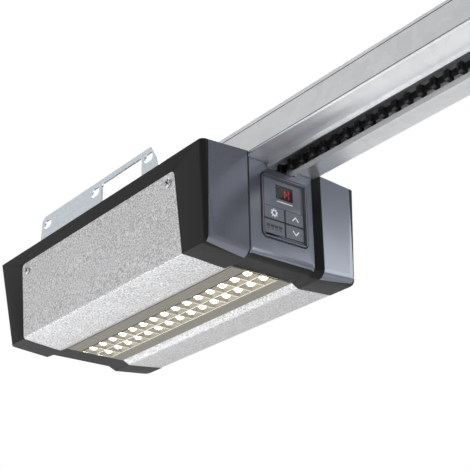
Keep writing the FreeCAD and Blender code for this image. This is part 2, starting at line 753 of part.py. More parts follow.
def door_arm():
    bar = box(0, ARM_LENGTH, -3.0, 3.0, -11, 11)
    ends = [rod(0, -3, 0, 11, 6, V(0, 1, 0)), rod(ARM_LENGTH, -3, 0, 11, 6, V(0, 1, 0))]
    shape = join([bar] + ends)
    shape = shape.cut(rod(0, -5, 0, 4.05, 10, V(0, 1, 0)))
    shape = shape.cut(rod(ARM_LENGTH, -5, 0, 4.05, 10, V(0, 1, 0)))
    for i in range(4):
        shape = shape.cut(rounded_slab("Y", V(52 + i * 35, -5, 0), 16, 8, 3.9, 10))
    shape.rotate(V(0, 0, 0), V(0, 1, 0), ARM_ANGLE)
    shape.translate(V(TROLLEY_X + 14, 0, ARM_Z))
    return shape


def arm_pin():
    x = TROLLEY_X + 14
    return join([rod(x, -21.5, ARM_Z, 4.0, 43, V(0, 1, 0)), rod(x, -23.5, ARM_Z, 6.5, 3, V(0, 1, 0))])


def door_bracket():
    end = arm_frame_point(ARM_LENGTH)
    ears = []
    for y0, y1 in ((-7.0, -4.0), (4.0, 7.0)):
        ear = join([box(0, 24, y0, y1, -11, 11), rod(0, y0, 0, 11, 3, V(0, 1, 0))])
        ears.append(ear)
    plate = box(21, 24, -26, 26, -34, 34)
    shape = join(ears + [plate])
    shape = shape.cut(rod(0, -10, 0, 4.02, 20, V(0, 1, 0)))
    for y in (-17, 17):
        for z in (-25, 25):
            shape = shape.cut(rod(15, y, z, 3.3, 20, V(1, 0, 0)))
    shape.translate(end)
    return shape


def door_pin():
    end = arm_frame_point(ARM_LENGTH)
    return join([rod(end.x, -9.5, end.z, 4.0, 19, V(0, 1, 0)), rod(end.x, -11.5, end.z, 6.5, 3, V(0, 1, 0))])


# ---- Rail end ----
def idler_axle():
    return join([rod(IDLER_X, 0, FORK_LOW_Z, 5.0, 22.2), rod(IDLER_X, 0, FORK_LOW_Z - 2.0, 8.0, 2.0)])


def tensioner_fork():
    lower = box(IDLER_X - 12, RAIL_END_X - 14, -11, 11, FORK_LOW_Z, FORK_LOW_Z + 2.0)
    upper = box(IDLER_X - 12, RAIL_END_X - 14, -11, 11, 16.2, 18.2)
    back = box(RAIL_END_X - 18, RAIL_END_X - 14, -11, 11, FORK_LOW_Z, 18.2)
    shape = join([lower, upper, back])
    shape = shape.cut(rod(IDLER_X, 0, -5, 5.02, 30))
    return shape.cut(rod(RAIL_END_X - 30, 0, BELT_Z, 4.02, 30, V(1, 0, 0)))


def tension_screw():
    head = rod(RAIL_END_X - 22.5, 0, BELT_Z, 5.9, 4.4, V(1, 0, 0))
    return join([head, rod(RAIL_END_X - 22.5, 0, BELT_Z, 4.0, 44, V(1, 0, 0))])


def tension_nut():
    x = RAIL_END_X + 3.1
    nut = prism([V(x, a, BELT_Z + b) for a, b in hexagon(7.5)], V(6.5, 0, 0))
    return nut.cut(rod(x - 1, 0, BELT_Z, 4.02, 10, V(1, 0, 0)))


def rail_end_plate():
    plate = box(RAIL_END_X + 0.1, RAIL_END_X + 3.0, -RAIL_HALF_W, RAIL_HALF_W, RAIL_BOTTOM_Z, RAIL_TOP_Z)
    return plate.cut(rod(RAIL_END_X - 1, 0, BELT_Z, 4.3, 10, V(1, 0, 0)))


def header_bracket():
    """Strap over the rail's end, with an upright plate for the wall above the door."""
    x0, x1 = RAIL_END_X - 24, RAIL_END_X + 26
    strap = box(x0, x1, -42, 42, RAIL_TOP_Z + 0.1, RAIL_TOP_Z + 2.6)
    wall = box(x1 - 2.5, x1, -42, 42, RAIL_TOP_Z + 0.1, RAIL_TOP_Z + 62)
    shape = join([strap, wall])
    for y in (-28.0, 28.0):
        shape = shape.cut(rod(RAIL_END_X - 9, y, 20, 3.3, 20))
        shape = shape.cut(rod(x0, y, RAIL_TOP_Z + 45, 4.0, 60, V(1, 0, 0)))
    return shape


def header_screws():
    made = []
    for y in (-28.0, 28.0):
        made.append(pan_screw(RAIL_END_X - 9, y, RAIL_TOP_Z + 2.6, 7))
    return Part.makeCompound(made)


def main():
    os.makedirs("parts", exist_ok=True)
    body = round_corners(head_body())
    front, rear, tray = housing(body)
    lower, cover = gearbox_parts()
    save("front_cap", front_cap(front, body))
    save("rear_cap", rear.cut(inlet_hole()))
    save("base_tray", base_tray(tray))
    save("cover_sheet", cover_sheet(body))
    save("cover_screws", cover_screws())
    save("panel_left", front_panel(PANEL_SPANS[0], body))
    save("panel_middle", middle_panel(body))
    save("panel_right", front_panel(PANEL_SPANS[2], body))
    save("keypad_bezel", keypad_bezel())
    save("keypad_plate", keypad_plate())
    save("programme_key", key("programme"))
    save("up_key", key("up"))
    save("down_key", key("down"))
    save("pictogram_plate", pictogram_plate())
    save("display_window", display_window())
    save("display_board", display_board())
    save("led_frame", led_frame())
    save("led_lens", led_lens())
    save("led_reflector", led_reflector())
    save("led_board", led_board())
    save("led_emitters", led_emitters())
    save("chassis_plate", chassis_plate())
    bracket = ceiling_bracket()
    save("bracket_left", bracket)
    save("bracket_right", bracket.mirror(V(0, 0, 0), V(0, 1, 0)))
    save("bracket_screws", bracket_screws())
    save("rail", rail())
    save("rail_clamp", rail_clamp())
    save("clamp_screws", clamp_screws())
    save("drive_belt", drive_belt())
    save("drive_sprocket", belt_pulley(DRIVE_X, SHAFT_R + 0.02))
    save("drive_shaft", drive_shaft())
    save("worm_wheel", worm_wheel())
    save("bearing_upper", bearing(-21.5))
    save("bearing_lower", bearing(-56.4))
    save("gearbox_housing", lower)
    save("gearbox_cover", cover)
    save("motor_can", motor_can())
    save("motor_rotor", motor_rotor())
    save("worm_shaft", worm_shaft())
    save("transformer", transformer())
    save("control_board", control_board())
    save("board_parts", board_parts())
    save("mains_inlet", mains_inlet())
    save("trolley_body", trolley_body())
    save("trolley_pads", trolley_pads())
    save("belt_coupler", belt_coupler())
    save("release_lever", release_lever())
    save("lever_pin", lever_pin())
    save("door_arm", door_arm())
    save("arm_pin", arm_pin())
    save("door_bracket", door_bracket())
    save("door_pin", door_pin())
    save("idler_pulley", belt_pulley(IDLER_X, 5.05))
    save("idler_axle", idler_axle())
    save("tensioner_fork", tensioner_fork())
    save("tension_screw", tension_screw())
    save("tension_nut", tension_nut())
    save("rail_end_plate", rail_end_plate())
    save("header_bracket", header_bracket())
    save("header_screws", header_screws())


main()
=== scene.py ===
# %% [markdown]
# # Garage door opener
# A motor head hangs under a garage ceiling. A steel rail with a toothed belt runs from it to the door,
# a trolley rides in the rail, and an arm joins the trolley to the door. The imported model gives every
# solid and every joint; this lesson gives the solids their real edges, finishes and small parts.
# The model's own box is kept from the start.

# %% Load the imported model
import json
import math

import bmesh
import bpy
from mathutils import Matrix, Vector


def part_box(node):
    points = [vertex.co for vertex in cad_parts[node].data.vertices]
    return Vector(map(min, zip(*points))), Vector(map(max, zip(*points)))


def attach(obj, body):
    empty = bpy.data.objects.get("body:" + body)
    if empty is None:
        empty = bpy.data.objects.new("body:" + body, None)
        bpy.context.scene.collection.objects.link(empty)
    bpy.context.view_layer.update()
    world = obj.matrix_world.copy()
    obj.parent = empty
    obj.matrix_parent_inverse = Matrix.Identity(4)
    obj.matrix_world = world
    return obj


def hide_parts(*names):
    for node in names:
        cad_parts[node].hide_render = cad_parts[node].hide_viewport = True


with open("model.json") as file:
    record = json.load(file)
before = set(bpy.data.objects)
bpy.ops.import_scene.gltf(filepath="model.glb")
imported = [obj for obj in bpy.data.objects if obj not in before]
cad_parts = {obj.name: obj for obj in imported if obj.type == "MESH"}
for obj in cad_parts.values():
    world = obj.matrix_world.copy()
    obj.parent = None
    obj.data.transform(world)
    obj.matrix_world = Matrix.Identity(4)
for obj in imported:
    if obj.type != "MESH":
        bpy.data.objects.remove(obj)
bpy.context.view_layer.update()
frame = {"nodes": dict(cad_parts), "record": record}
MM = 0.001

# %% [markdown]
# ## The camera
# The opener is seen from below and in front, as by somebody standing in the garage. A camera could be
# aimed with a Track To constraint, but a turn, a rise and a small roll are three plain numbers that say
# the same and leave nothing live. The lens is long, so parallel edges stay nearly parallel.

# %% Place the camera
CAMERA_PLACE = (0.9082, -0.6249, -0.5158)
CAMERA_TURN = 141.163      # degrees anticlockwise from +X
CAMERA_RISE = 23.855       # degrees above level
CAMERA_ROLL = -1.184
CAMERA_LENS = 90.83        # mm on a 36 mm sensor


def camera_axes(turn, rise, roll):
    """Turn, rise and roll in degrees as a matrix whose columns are right, up and backwards."""
    turn, rise, roll = (math.radians(a) for a in (turn, rise, roll))
    level_part = math.cos(rise)
    ahead = Vector((level_part * math.cos(turn), level_part * math.sin(turn), math.sin(rise)))
    level = ahead.cross(Vector((0, 0, 1))).normalized()
    above = level.cross(ahead)
    right = level * math.cos(roll) + above * math.sin(roll)
    up = above * math.cos(roll) - level * math.sin(roll)
    return Matrix((right, up, -ahead)).transposed().to_4x4()


scene = bpy.context.scene
camera = bpy.data.objects.new("camera", bpy.data.cameras.new("camera"))
camera.data.lens = CAMERA_LENS
camera.data.clip_start = 0.01
aim = camera_axes(CAMERA_TURN, CAMERA_RISE, CAMERA_ROLL)
camera.matrix_world = Matrix.Translation(CAMERA_PLACE) @ aim
scene.collection.objects.link(camera)
scene.camera = camera
scene.view_settings.view_transform = "Standard"
print("camera at", [round(c, 3) for c in camera.location])

# %% [markdown]
# ## Floor, surroundings and lights
# Metal shows what is around it, so the surroundings do half of the work. The sky shader is brighter
# below than above, and the camera itself sees plain white. Seven soft panels then draw the long
# highlights along the folds and shade the panels from one side to the other. A picture of a real
# studio would be quicker to try, but it is a file, and a ramp on the direction does the same here.

# %% Floor
FLOOR_Z, FLOOR_R = -1.9, 9.0
FLOOR_GLOW = 0.20          # lifts the far floor, where the panels hardly reach


def plain_material(name, colour, roughness):
    """A material and its shader."""
    made = bpy.data.materials.new(name)
    made.use_nodes = True
    shader = made.node_tree.nodes["Principled BSDF"]
    shader.inputs["Base Color"].default_value = (*colour, 1)
    shader.inputs["Roughness"].default_value = roughness
    return made, shader


def link_piece(name, bm):
    """A finished bmesh as an object at the origin."""
    mesh = bpy.data.meshes.new(name)
    bm.to_mesh(mesh)
    bm.free()
    made = bpy.data.objects.new(name, mesh)
    scene.collection.objects.link(made)
    return made


disc = bmesh.new()
bmesh.ops.create_circle(disc, cap_ends=True, segments=64, radius=FLOOR_R)
bmesh.ops.translate(disc, verts=disc.verts, vec=(0, 0, FLOOR_Z))
floor = link_piece("floor", disc)
pale_floor, floor_shader = plain_material("pale floor", (0.84, 0.84, 0.84), 0.7)
floor_shader.inputs["Emission Color"].default_value = (1, 1, 1, 1)
floor_shader.inputs["Emission Strength"].default_value = FLOOR_GLOW
floor.data.materials.append(pale_floor)
print("floor at", FLOOR_Z, "m, radius", FLOOR_R, "m")

# %% Surroundings


def node(tree, kind, **values):
    """A node with its attributes, or its sockets where the name is a socket's, set in one go."""
    made = tree.nodes.new(kind)
    for key, value in values.items():
        if hasattr(made, key):
            setattr(made, key, value)
        else:
            made.inputs[key.replace("_", " ")].default_value = value
    return made


def ramp(tree, factor, stops):
    """The output of a colour ramp over a factor, from (position, grey) stops."""
    made = tree.nodes.new("ShaderNodeValToRGB")
    elements = made.color_ramp.elements
    while len(elements) < len(stops):
        elements.new(0.5)
    for element, (position, level) in zip(elements, stops):
        element.position = position
        element.color = (level, level, level, 1)
    tree.links.new(factor, made.inputs["Fac"])
    return made.outputs["Color"]


# from straight below to straight above
SKY_HEIGHT = ((0.0, 0.60), (0.45, 0.60), (0.62, 0.35), (1.0, 0.25))
world = bpy.data.worlds.new("studio")
scene.world = world
world.use_nodes = True
sky = world.node_tree
sky.nodes.clear()
direction = sky.nodes.new("ShaderNodeTexCoord")
apart = sky.nodes.new("ShaderNodeSeparateXYZ")
height = node(sky, "ShaderNodeMapRange", From_Min=-1)
sky.links.new(direction.outputs["Generated"], apart.inputs[0])
sky.links.new(apart.outputs["Z"], height.inputs["Value"])
lit = node(sky, "ShaderNodeBackground", Strength=1.0)
sky.links.new(ramp(sky, height.outputs["Result"], SKY_HEIGHT), lit.inputs["Color"])
seen = node(sky, "ShaderNodeBackground", Color=(1, 1, 1, 1), Strength=1.0)
choose = sky.nodes.new("ShaderNodeMixShader")
rays = sky.nodes.new("ShaderNodeLightPath")
sky.links.new(rays.outputs["Is Camera Ray"], choose.inputs["Fac"])
sky.links.new(lit.outputs["Background"], choose.inputs[1])
sky.links.new(seen.outputs["Background"], choose.inputs[2])
out = sky.nodes.new("ShaderNodeOutputWorld")
sky.links.new(choose.outputs["Shader"], out.inputs["Surface"])
print("sky levels:", [level for _, level in SKY_HEIGHT])

# %% Soft light panels
LIGHTS = {
    # name: (place, aim, width, height, brightness), where 1.0 looks as bright as white paper
    "side panel": ((-2.1, -1.8, 1.1), (0, 0, 0), 3.0, 2.2, 0.33),
    "bend strip": ((-2.1, -1.7, -0.60), (0, 0, -0.05), 3.0, 0.40, 2.4),
    "low rear panel": ((-1.40, 0.0, -1.45), (0.1, 0, -0.1), 1.6, 1.5, 0.80),
    "slot panel": ((0.6, -1.6, -0.75), (0.4, 0, 0), 1.0, 0.5, 1.8),
    "low front panel": ((1.25, 1.50, -1.35), (0.2, 0, -0.08), 1.5, 0.9, 0.55),
    "overhead panel": ((0.3, 0.2, 2.7), (0.3, 0.2, -1), 3.6, 3.6, 3.1),
    "front panel": ((1.53, 2.14, 0.16), (0.2, 0, -0.05), 1.6, 1.5, 2.9),
}


def soft_panel(name, location, target, wide, high, brightness):
    lamp = bpy.data.lights.new(name, "AREA")
    lamp.shape, lamp.size, lamp.size_y = "RECTANGLE", wide, high
    lamp.energy = brightness * math.pi * wide * high
    made = bpy.data.objects.new(name, lamp)
    made.location = location
    towards = Vector(target) - Vector(location)
    made.rotation_euler = towards.to_track_quat("-Z", "Y").to_euler()
    scene.collection.objects.link(made)


for light_name, values in LIGHTS.items():
    soft_panel(light_name, *values)
print("light panels:", len(LIGHTS))

# %% [markdown]
# ## Shared surface effects
# No finish on this machine is one flat colour. Moulded plastic has a fine spark-eroded grain, painted
# panels have fine flakes, and zinc has crystals. Each effect is a node group, built once, that puts out
# a colour, a roughness and a height. The shader itself stays in the material, because an exporter looks
# for it there. All patterns read object coordinates: every piece keeps its place in its mesh, so one
# scale in real metres fits all of them.

# %% Node group helpers
COLOUR, NUMBER = "NodeSocketColor", "NodeSocketFloat"
FINISH_IN = (
    ("Light Colour", COLOUR, (0.6, 0.6, 0.6, 1)),
    ("Dark Colour", COLOUR, (0.4, 0.4, 0.4, 1)),
    ("Grains per Metre", NUMBER, 500.0),
    ("Smooth", NUMBER, 0.3),
    ("Rough", NUMBER, 0.5),
)
FINISH_OUT = (("Colour", COLOUR), ("Roughness", NUMBER), ("Height", NUMBER))


def new_group(name):
    """An empty effect with its sockets: the group, its two ends and its object coordinates."""
    tree = bpy.data.node_groups.new(name, "ShaderNodeTree")
    for label, kind, value in FINISH_IN:
        tree.interface.new_socket(label, in_out="INPUT", socket_type=kind).default_value = value
    for label, kind in FINISH_OUT:
        tree.interface.new_socket(label, in_out="OUTPUT", socket_type=kind)
    given, result = tree.nodes.new("NodeGroupInput"), tree.nodes.new("NodeGroupOutput")
    return tree, given, result, tree.nodes.new("ShaderNodeTexCoord").outputs["Object"]


def noise(tree, where, **values):
    made = node(tree, "ShaderNodeTexNoise", **values)
    tree.links.new(where, made.inputs["Vector"])
    return made


def close_group(tree, given, result, factor, bump):
    """Colour and roughness both follow one factor; the bump height is its own pattern."""
    colours = node(tree, "ShaderNodeMix", data_type="RGBA")
    tree.links.new(factor, colours.inputs["Factor"])
    tree.links.new(given.outputs["Dark Colour"], colours.inputs[6])
    tree.links.new(given.outputs["Light Colour"], colours.inputs[7])
    roughness = tree.nodes.new("ShaderNodeMapRange")
    tree.links.new(factor, roughness.inputs["Value"])
    tree.links.new(given.outputs["Rough"], roughness.inputs["To Min"])
    tree.links.new(given.outputs["Smooth"], roughness.inputs["To Max"])
    tree.links.new(colours.outputs[2], result.inputs["Colour"])
    tree.links.new(roughness.outputs["Result"], result.inputs["Roughness"])
    tree.links.new(bump, result.inputs["Height"])
    print("group:", tree.name)


# %% Fine grain, for moulded plastic, rubber, paint and cast metal
grain, grain_in, grain_out, grain_at = new_group("fine grain")
fine = noise(grain, grain_at, Detail=3.0, Roughness=0.6)
grain.links.new(grain_in.outputs["Grains per Metre"], fine.inputs["Scale"])
coarse = noise(grain, grain_at, Scale=14.0, Detail=2.0)
spots = ramp(grain, fine.outputs["Fac"], ((0.40, 0.0), (0.60, 1.0)))
drift = ramp(grain, coarse.outputs["Fac"], ((0.35, 0.80), (0.65, 1.0)))
blend = node(grain, "ShaderNodeMath", operation="MULTIPLY")
grain.links.new(spots, blend.inputs[0])
grain.links.new(drift, blend.inputs[1])
close_group(grain, grain_in, grain_out, blend.outputs["Value"], fine.outputs["Fac"])

# %% Zinc crystals, for galvanised steel
WARP = 0.02                # metres by which the crystals' edges are bent
zinc, zinc_in, zinc_out, zinc_at = new_group("zinc crystals")
warp = noise(zinc, zinc_at, Scale=60.0, Detail=2.0)
bent = node(zinc, "ShaderNodeVectorMath", operation="MULTIPLY_ADD")
bent.inputs[1].default_value = (WARP, WARP, WARP)
zinc.links.new(warp.outputs["Color"], bent.inputs[0])
zinc.links.new(zinc_at, bent.inputs[2])
crystal = zinc.nodes.new("ShaderNodeTexVoronoi")
zinc.links.new(bent.outputs["Vector"], crystal.inputs["Vector"])
zinc.links.new(zinc_in.outputs["Grains per Metre"], crystal.inputs["Scale"])
cloud = noise(zinc, zinc_at, Scale=25.0, Detail=4.0)
tone = node(zinc, "ShaderNodeMix", Factor=0.5)
zinc.links.new(crystal.outputs["Color"], tone.inputs["A"])
zinc.links.new(cloud.outputs["Fac"], tone.inputs["B"])
tones = ramp(zinc, tone.outputs["Result"], ((0.25, 0.0), (0.75, 1.0)))
close_group(zinc, zinc_in, zinc_out, tones, tone.outputs["Result"])

# %% [markdown]
# ## Finishes
# One function makes every finish from a row of values: which effect, its light and dark colour, its
# grains per metre, its least and greatest roughness, and the plain numbers that sit on the shader
# itself. Values that stay the same all over are set on the shader's sockets, and only what changes over
# the surface is linked.

# %% Finish function


def add_effect(tree, group, light, dark, per_metre, smooth, rough):
    """An effect's node, with its colour and roughness led to the shader."""
    shader = tree.nodes["Principled BSDF"]
    effect = tree.nodes.new("ShaderNodeGroup")
    effect.node_tree = group
    row = ((*light, 1), (*dark, 1), per_metre, smooth, rough)
    for (label, _, _), value in zip(FINISH_IN, row):
        effect.inputs[label].default_value = value
    tree.links.new(effect.outputs["Colour"], shader.inputs["Base Color"])
    tree.links.new(effect.outputs["Roughness"], shader.inputs["Roughness"])
    return effect


def finish(name, group, light, dark, per_metre, smooth, rough,
           metallic=0.0, bump=0.1, depth=0.0002, glow=0.0, **plain):
    """A finish whose bump follows its effect; with a glow, the effect's colour is given off too."""
    made = bpy.data.materials.new(name)
    made.use_nodes = True
    tree = made.node_tree
    shader = tree.nodes["Principled BSDF"]
    effect = add_effect(tree, group, light, dark, per_metre, smooth, rough)
    relief = node(tree, "ShaderNodeBump", Strength=bump, Distance=depth)
    tree.links.new(effect.outputs["Height"], relief.inputs["Height"])
    tree.links.new(relief.outputs["Normal"], shader.inputs["Normal"])
    shader.inputs["Metallic"].default_value = metallic
    for label, value in plain.items():
        shader.inputs[label.replace("_", " ")].default_value = value
    if glow:
        tree.links.new(effect.outputs["Colour"], shader.inputs["Emission Color"])
        shader.inputs["Emission Strength"].default_value = glow
    return made


def grey(level, blue=0.0):
    """A grey, a little bluer where blue is above zero."""
    return (level * (1 - blue), level * (1 - blue * 0.6), level)


# %% Finishes of the whole machine
finishes = {
    "dark_plastic": finish(
        "anthracite plastic", grain, grey(0.011, 0.12), grey(0.006, 0.12), 2600, 0.34, 0.46,
        bump=0.25, Specular_IOR_Level=0.22),
    "panel_blue_grey": finish(
        "blue-grey panel paint", grain, (0.185, 0.200, 0.245), (0.138, 0.150, 0.188), 3500, 0.20, 0.28,
        metallic=0.60, bump=0.05, Coat_Weight=0.30, Coat_Roughness=0.15),
    "cover_metal": finish(
        "stucco-grained cover sheet", grain, grey(0.98, 0.01), grey(0.48, 0.02), 640, 0.26, 0.46,
        metallic=0.70, bump=0.8, depth=0.0006),
    "galvanised": finish(
        "galvanised steel", zinc, grey(0.88, 0.02), grey(0.80, 0.03), 90, 0.28, 0.34,
        metallic=0.85, bump=0.03),
    "zinc_steel": finish(
        "bright zinc", zinc, grey(0.78, 0.03), grey(0.55, 0.02), 400, 0.20, 0.32, metallic=1.0),
    "key_grey": finish(
        "key membrane", grain, (0.150, 0.165, 0.205), (0.115, 0.128, 0.160), 3000, 0.34, 0.44,
        bump=0.12),
    "bezel": finish(
        "bezel rim", grain, (0.20, 0.213, 0.255), (0.15, 0.16, 0.195), 3000, 0.28, 0.38, metallic=0.4),
    "taupe_plastic": finish(
        "taupe lamp frame", grain, (0.27, 0.25, 0.215), (0.215, 0.20, 0.17), 2200, 0.45, 0.6, bump=0.2),
    "reflector": finish(
        "reflector facet", grain, (0.55, 0.52, 0.44), (0.40, 0.375, 0.315), 900, 0.2, 0.3,
        metallic=0.6),
    "circuit_board": finish(
        "circuit board", grain, (0.03, 0.17, 0.08), (0.015, 0.10, 0.045), 900, 0.35, 0.5),
    "components": finish("moulded components", grain, grey(0.06), grey(0.03), 1500, 0.35, 0.5),
    "transformer": finish(
        "lacquered iron stack", grain, (0.17, 0.13, 0.10), (0.09, 0.065, 0.05), 1800, 0.35, 0.5,
        metallic=0.4),
    "rubber_black": finish("black belt", grain, grey(0.020), grey(0.010), 1800, 0.24, 0.38, bump=0.3),
    "gear_plastic": finish("acetal gear", grain, grey(0.10), grey(0.06), 1800, 0.35, 0.48),
    "motor_metal": finish(
        "motor can", zinc, grey(0.62, 0.02), grey(0.42, 0.02), 220, 0.25, 0.4, metallic=0.9),
    "gearbox_cast": finish(
        "die-cast gearbox", grain, grey(0.52, 0.03), grey(0.34, 0.03), 1200, 0.38, 0.55,
        metallic=0.8, bump=0.3),
    "trolley_plastic": finish(
        "black trolley plastic", grain, grey(0.045, 0.05), grey(0.022, 0.05), 2000, 0.34, 0.5,
        bump=0.25),
    "signal_red": finish(
        "signal red plastic", grain, (0.55, 0.022, 0.018), (0.36, 0.012, 0.010), 2200, 0.30, 0.42),
}
# Painted shade: a dark finish for faces where the real part is darkened only by the shade in a groove,
# gap or recess.
painted_shade_finish = finish(
    "painted shade line", grain, (0.012, 0.013, 0.016), (0.006, 0.007, 0.009), 3000, 0.55, 0.7)
blue_zinc = finish(
    "blue passivated zinc", grain, (0.82, 0.88, 0.92), (0.74, 0.80, 0.85), 260, 0.30, 0.38,
    metallic=0.8, bump=0.04)
# Painted light: pale zinc with little metal shine, so that the inner faces of the rail's lips look lit.
painted_light_zinc = finish(
    "painted light lip zinc", grain, grey(0.90, 0.01), grey(0.80, 0.01), 700, 0.45, 0.6, metallic=0.15)
print("finishes:", len(finishes))

# %% [markdown]
# ## Glass, lamps and printing
# The lamp's cover and the display window are clear, so they need a transmitting shader, with the
# tint on its own sockets. The emitters and the lit figure give off light. The reflector's rims and
# facets glow with painted light that stands in for the emitters' light on them. A faint noise keeps
# them from looking like flat stickers.

# %% Clear and lit finishes


def clear(name, colour, roughness):
    made, shader = plain_material(name, colour, roughness)
    shade = tuple(c * 0.93 for c in colour)
    add_effect(made.node_tree, grain, colour, shade, 800, roughness, roughness + 0.03)
    shader.inputs["Transmission Weight"].default_value = 1.0
    shader.inputs["IOR"].default_value = 1.45
    return made


def glowing(name, bright, dim, strength):
    return finish(name, grain, bright, dim, 1500, 0.3, 0.4, glow=strength)


def printed(name, light, dark, per_metre=4000):
    return finish(name, grain, light, dark, per_metre, 0.4, 0.5)


finishes["lens_clear"] = clear("clear lamp cover", (0.98, 0.97, 0.93), 0.02)
finishes["display_glass"] = clear("smoked window", (0.30, 0.27, 0.25), 0.04)
finishes["emitter"] = glowing("warm white emitter", (1.0, 0.95, 0.80), (1.0, 0.90, 0.68), 9.0)
lit_red = glowing("lit red segment", (1.0, 0.03, 0.04), (0.8, 0.01, 0.02), 2.2)
unlit_red = printed("unlit segment", (0.055, 0.028, 0.026), (0.035, 0.018, 0.016), 2000)
white_print = printed("white print", (0.86, 0.88, 0.90), (0.74, 0.76, 0.79))
dark_print = printed("dark print", (0.030, 0.033, 0.042), (0.018, 0.020, 0.026))
# The reflector's rims and slopes are no lamps: their glow is painted light for the emitters' light on
# them, and the slope comes in a lit and a shaded copy.
painted_glow_long_rim = glowing("lit reflector rim", (1.0, 0.96, 0.84), (0.95, 0.90, 0.76), 0.75)
painted_glow_cross_rim = glowing("lit cross rim", (0.95, 0.91, 0.80), (0.88, 0.83, 0.70), 0.45)
painted_lit_slope = glowing("lit reflector slope", (0.34, 0.325, 0.28), (0.24, 0.23, 0.195), 0.28)
painted_shaded_slope = glowing("shaded reflector slope", (0.20, 0.19, 0.165), (0.14, 0.13, 0.11), 0.2)
print("clear and lit finishes ready")

# %% [markdown]
# ## From solids to real edges
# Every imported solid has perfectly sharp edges. Real mouldings and pressings have small radii, and those
# radii catch the light. A copy of the solid is merged and its flat regions are dissolved into single
# faces, and then a Bevel modifier rounds what is sharper than a set angle. The solid itself is left
# alone and hidden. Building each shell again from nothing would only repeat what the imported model
# already has.

# %% Helpers for meshes
SHARP = math.radians(32)       # edges that turn by more than this are rounded
FLAT = math.radians(0.6)       # faces that turn by less than this count as one
SAME_PLACE = 2e-6


def merged_copy(name):
    """A bmesh of the named solid, with doubles merged and flat regions dissolved."""
    bm = bmesh.new()
    bm.from_mesh(frame["nodes"][name].data)
    bmesh.ops.remove_doubles(bm, verts=bm.verts, dist=SAME_PLACE)
    bmesh.ops.dissolve_limit(bm, angle_limit=FLAT, verts=bm.verts, edges=bm.edges)
    return bm


def kind_of(geom, kind):
    return [g for g in geom if isinstance(g, kind)]


def verts_of(geom):
    return kind_of(geom, bmesh.types.BMVert)


def edges_of(geom):
    return kind_of(geom, bmesh.types.BMEdge)


def faces_of(geom):
    return kind_of(geom, bmesh.types.BMFace)


def facing(bm, low, high, axis, sign):
    """Faces that look along an axis and lie between two corners."""
    return [
        f for f in bm.faces
        if sign * f.normal[axis] > 0.9
        and all(a <= c <= b for a, c, b in zip(low, f.calc_center_median(), high))
    ]


def add_block(bm, size, centre=(0, 0, 0)):
    """A plain block, added to a bmesh."""
    made = bmesh.ops.create_cube(bm, size=1)["verts"]
    bmesh.ops.scale(bm, verts=made, vec=size)
    bmesh.ops.translate(bm, verts=made, vec=centre)


def fill_box(bm, low, high):
    """A plain block between two corners, added to a bmesh."""
    low, high = Vector(low), Vector(high)
    add_block(bm, high - low, (low + high) / 2)


def turn_mesh(bm, degrees, axis):
    turn = Matrix.Rotation(math.radians(degrees), 3, axis)
    bmesh.ops.rotate(bm, verts=bm.verts, cent=(0, 0, 0), matrix=turn)


# %% Helpers for pieces
BODY_OF = {n: b for b, members in frame["record"]["behaviour"]["bodies"].items() for n in members}
SLOT_OF = {row["node"]: row["material_slot"] for row in frame["record"]["subparts"]}


def show(piece, body, slot, nodes=(), materials=None):
    """Give a piece its finish, its body and the solids that it stands for."""
    for material in materials or [finishes[slot]]:
        piece.data.materials.append(material)
    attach(piece, body)
    if nodes:
        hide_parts(*nodes)


def smooth_sides(piece, angle=SHARP):
    piece.data.polygons.foreach_set("use_smooth", [True] * len(piece.data.polygons))
    piece.data.set_sharp_from_angle(angle=angle)


def round_edges(piece, width, segments=2):
    smooth_sides(piece)
    bevel = piece.modifiers.new("small radii", "BEVEL")
    bevel.width, bevel.segments, bevel.limit_method = width, segments, "ANGLE"
    bevel.angle_limit = SHARP
    bevel.harden_normals = True
    bevel.miter_outer = "MITER_ARC"


print("bodies:", sorted(set(BODY_OF.values())))

# %% [markdown]
# ## Shells, pressings and mouldings
# Each row is one solid with the radius that such a part has: about 1 mm on thick mouldings, a few tenths
# on sheet metal. The wider the radius, the more sides the bevel gets, and nothing here needs over three.
# The ceiling brackets and their screws have a bluer zinc than the rail.

# %% Rounded parts
RADII = {
    # solid: (radius in mm, sides)
    "front_cap": (0.8, 3), "rear_cap": (0.8, 3), "base_tray": (0.5, 2),
    "panel_left": (0.9, 3), "panel_middle": (0.9, 3), "panel_right": (0.9, 3),
    "keypad_plate": (0.25, 2), "pictogram_plate": (0.25, 2),
    "programme_key": (0.35, 2), "up_key": (0.35, 2), "down_key": (0.35, 2),
    "led_frame": (0.15, 2), "chassis_plate": (0.3, 2),
    "bracket_left": (0.35, 2), "bracket_right": (0.35, 2), "bracket_screws": (0.5, 2),
    "rail_clamp": (0.4, 2), "clamp_screws": (0.8, 3), "mains_inlet": (0.4, 2),
    "trolley_body": (1.2, 3), "trolley_pads": (0.5, 2), "belt_coupler": (0.8, 2),
    "release_lever": (1.0, 3), "lever_pin": (0.4, 2), "door_arm": (0.6, 2), "arm_pin": (0.6, 2),
    "door_bracket": (0.5, 2), "door_pin": (0.6, 2),
    "idler_pulley": (0.4, 2), "drive_sprocket": (0.4, 2), "tensioner_fork": (0.4, 2),
    "tension_screw": (0.6, 2), "tension_nut": (0.5, 2), "rail_end_plate": (0.5, 2),
    "header_bracket": (0.5, 2), "header_screws": (0.8, 3),
}
for name, (radius, sides) in RADII.items():
    piece = link_piece(name + "_rounded", merged_copy(name))
    round_edges(piece, radius * MM, sides)
    own = [blue_zinc] if name.startswith("bracket_") else None
    show(piece, BODY_OF[name], SLOT_OF[name], [name], own)
print("rounded parts:", len(RADII))

# %% [markdown]
# ## The bends of the cover sheet
# The sheet is folded on a press brake, so its long outer bends are much rounder than its cut edges, and
# they draw one bright line from end to end. Only those edges are bevelled first: they run along X, they
# are convex, and both faces beside them are wide, which leaves out the thin cut edges.

# %% Round the long bends
BEND_R, CUT_EDGE = 1.8 * MM, 2.0 * MM
LONG, LEAST_FOLD = 60 * MM, math.radians(12)
SHEET_RADIUS = 0.3 * MM


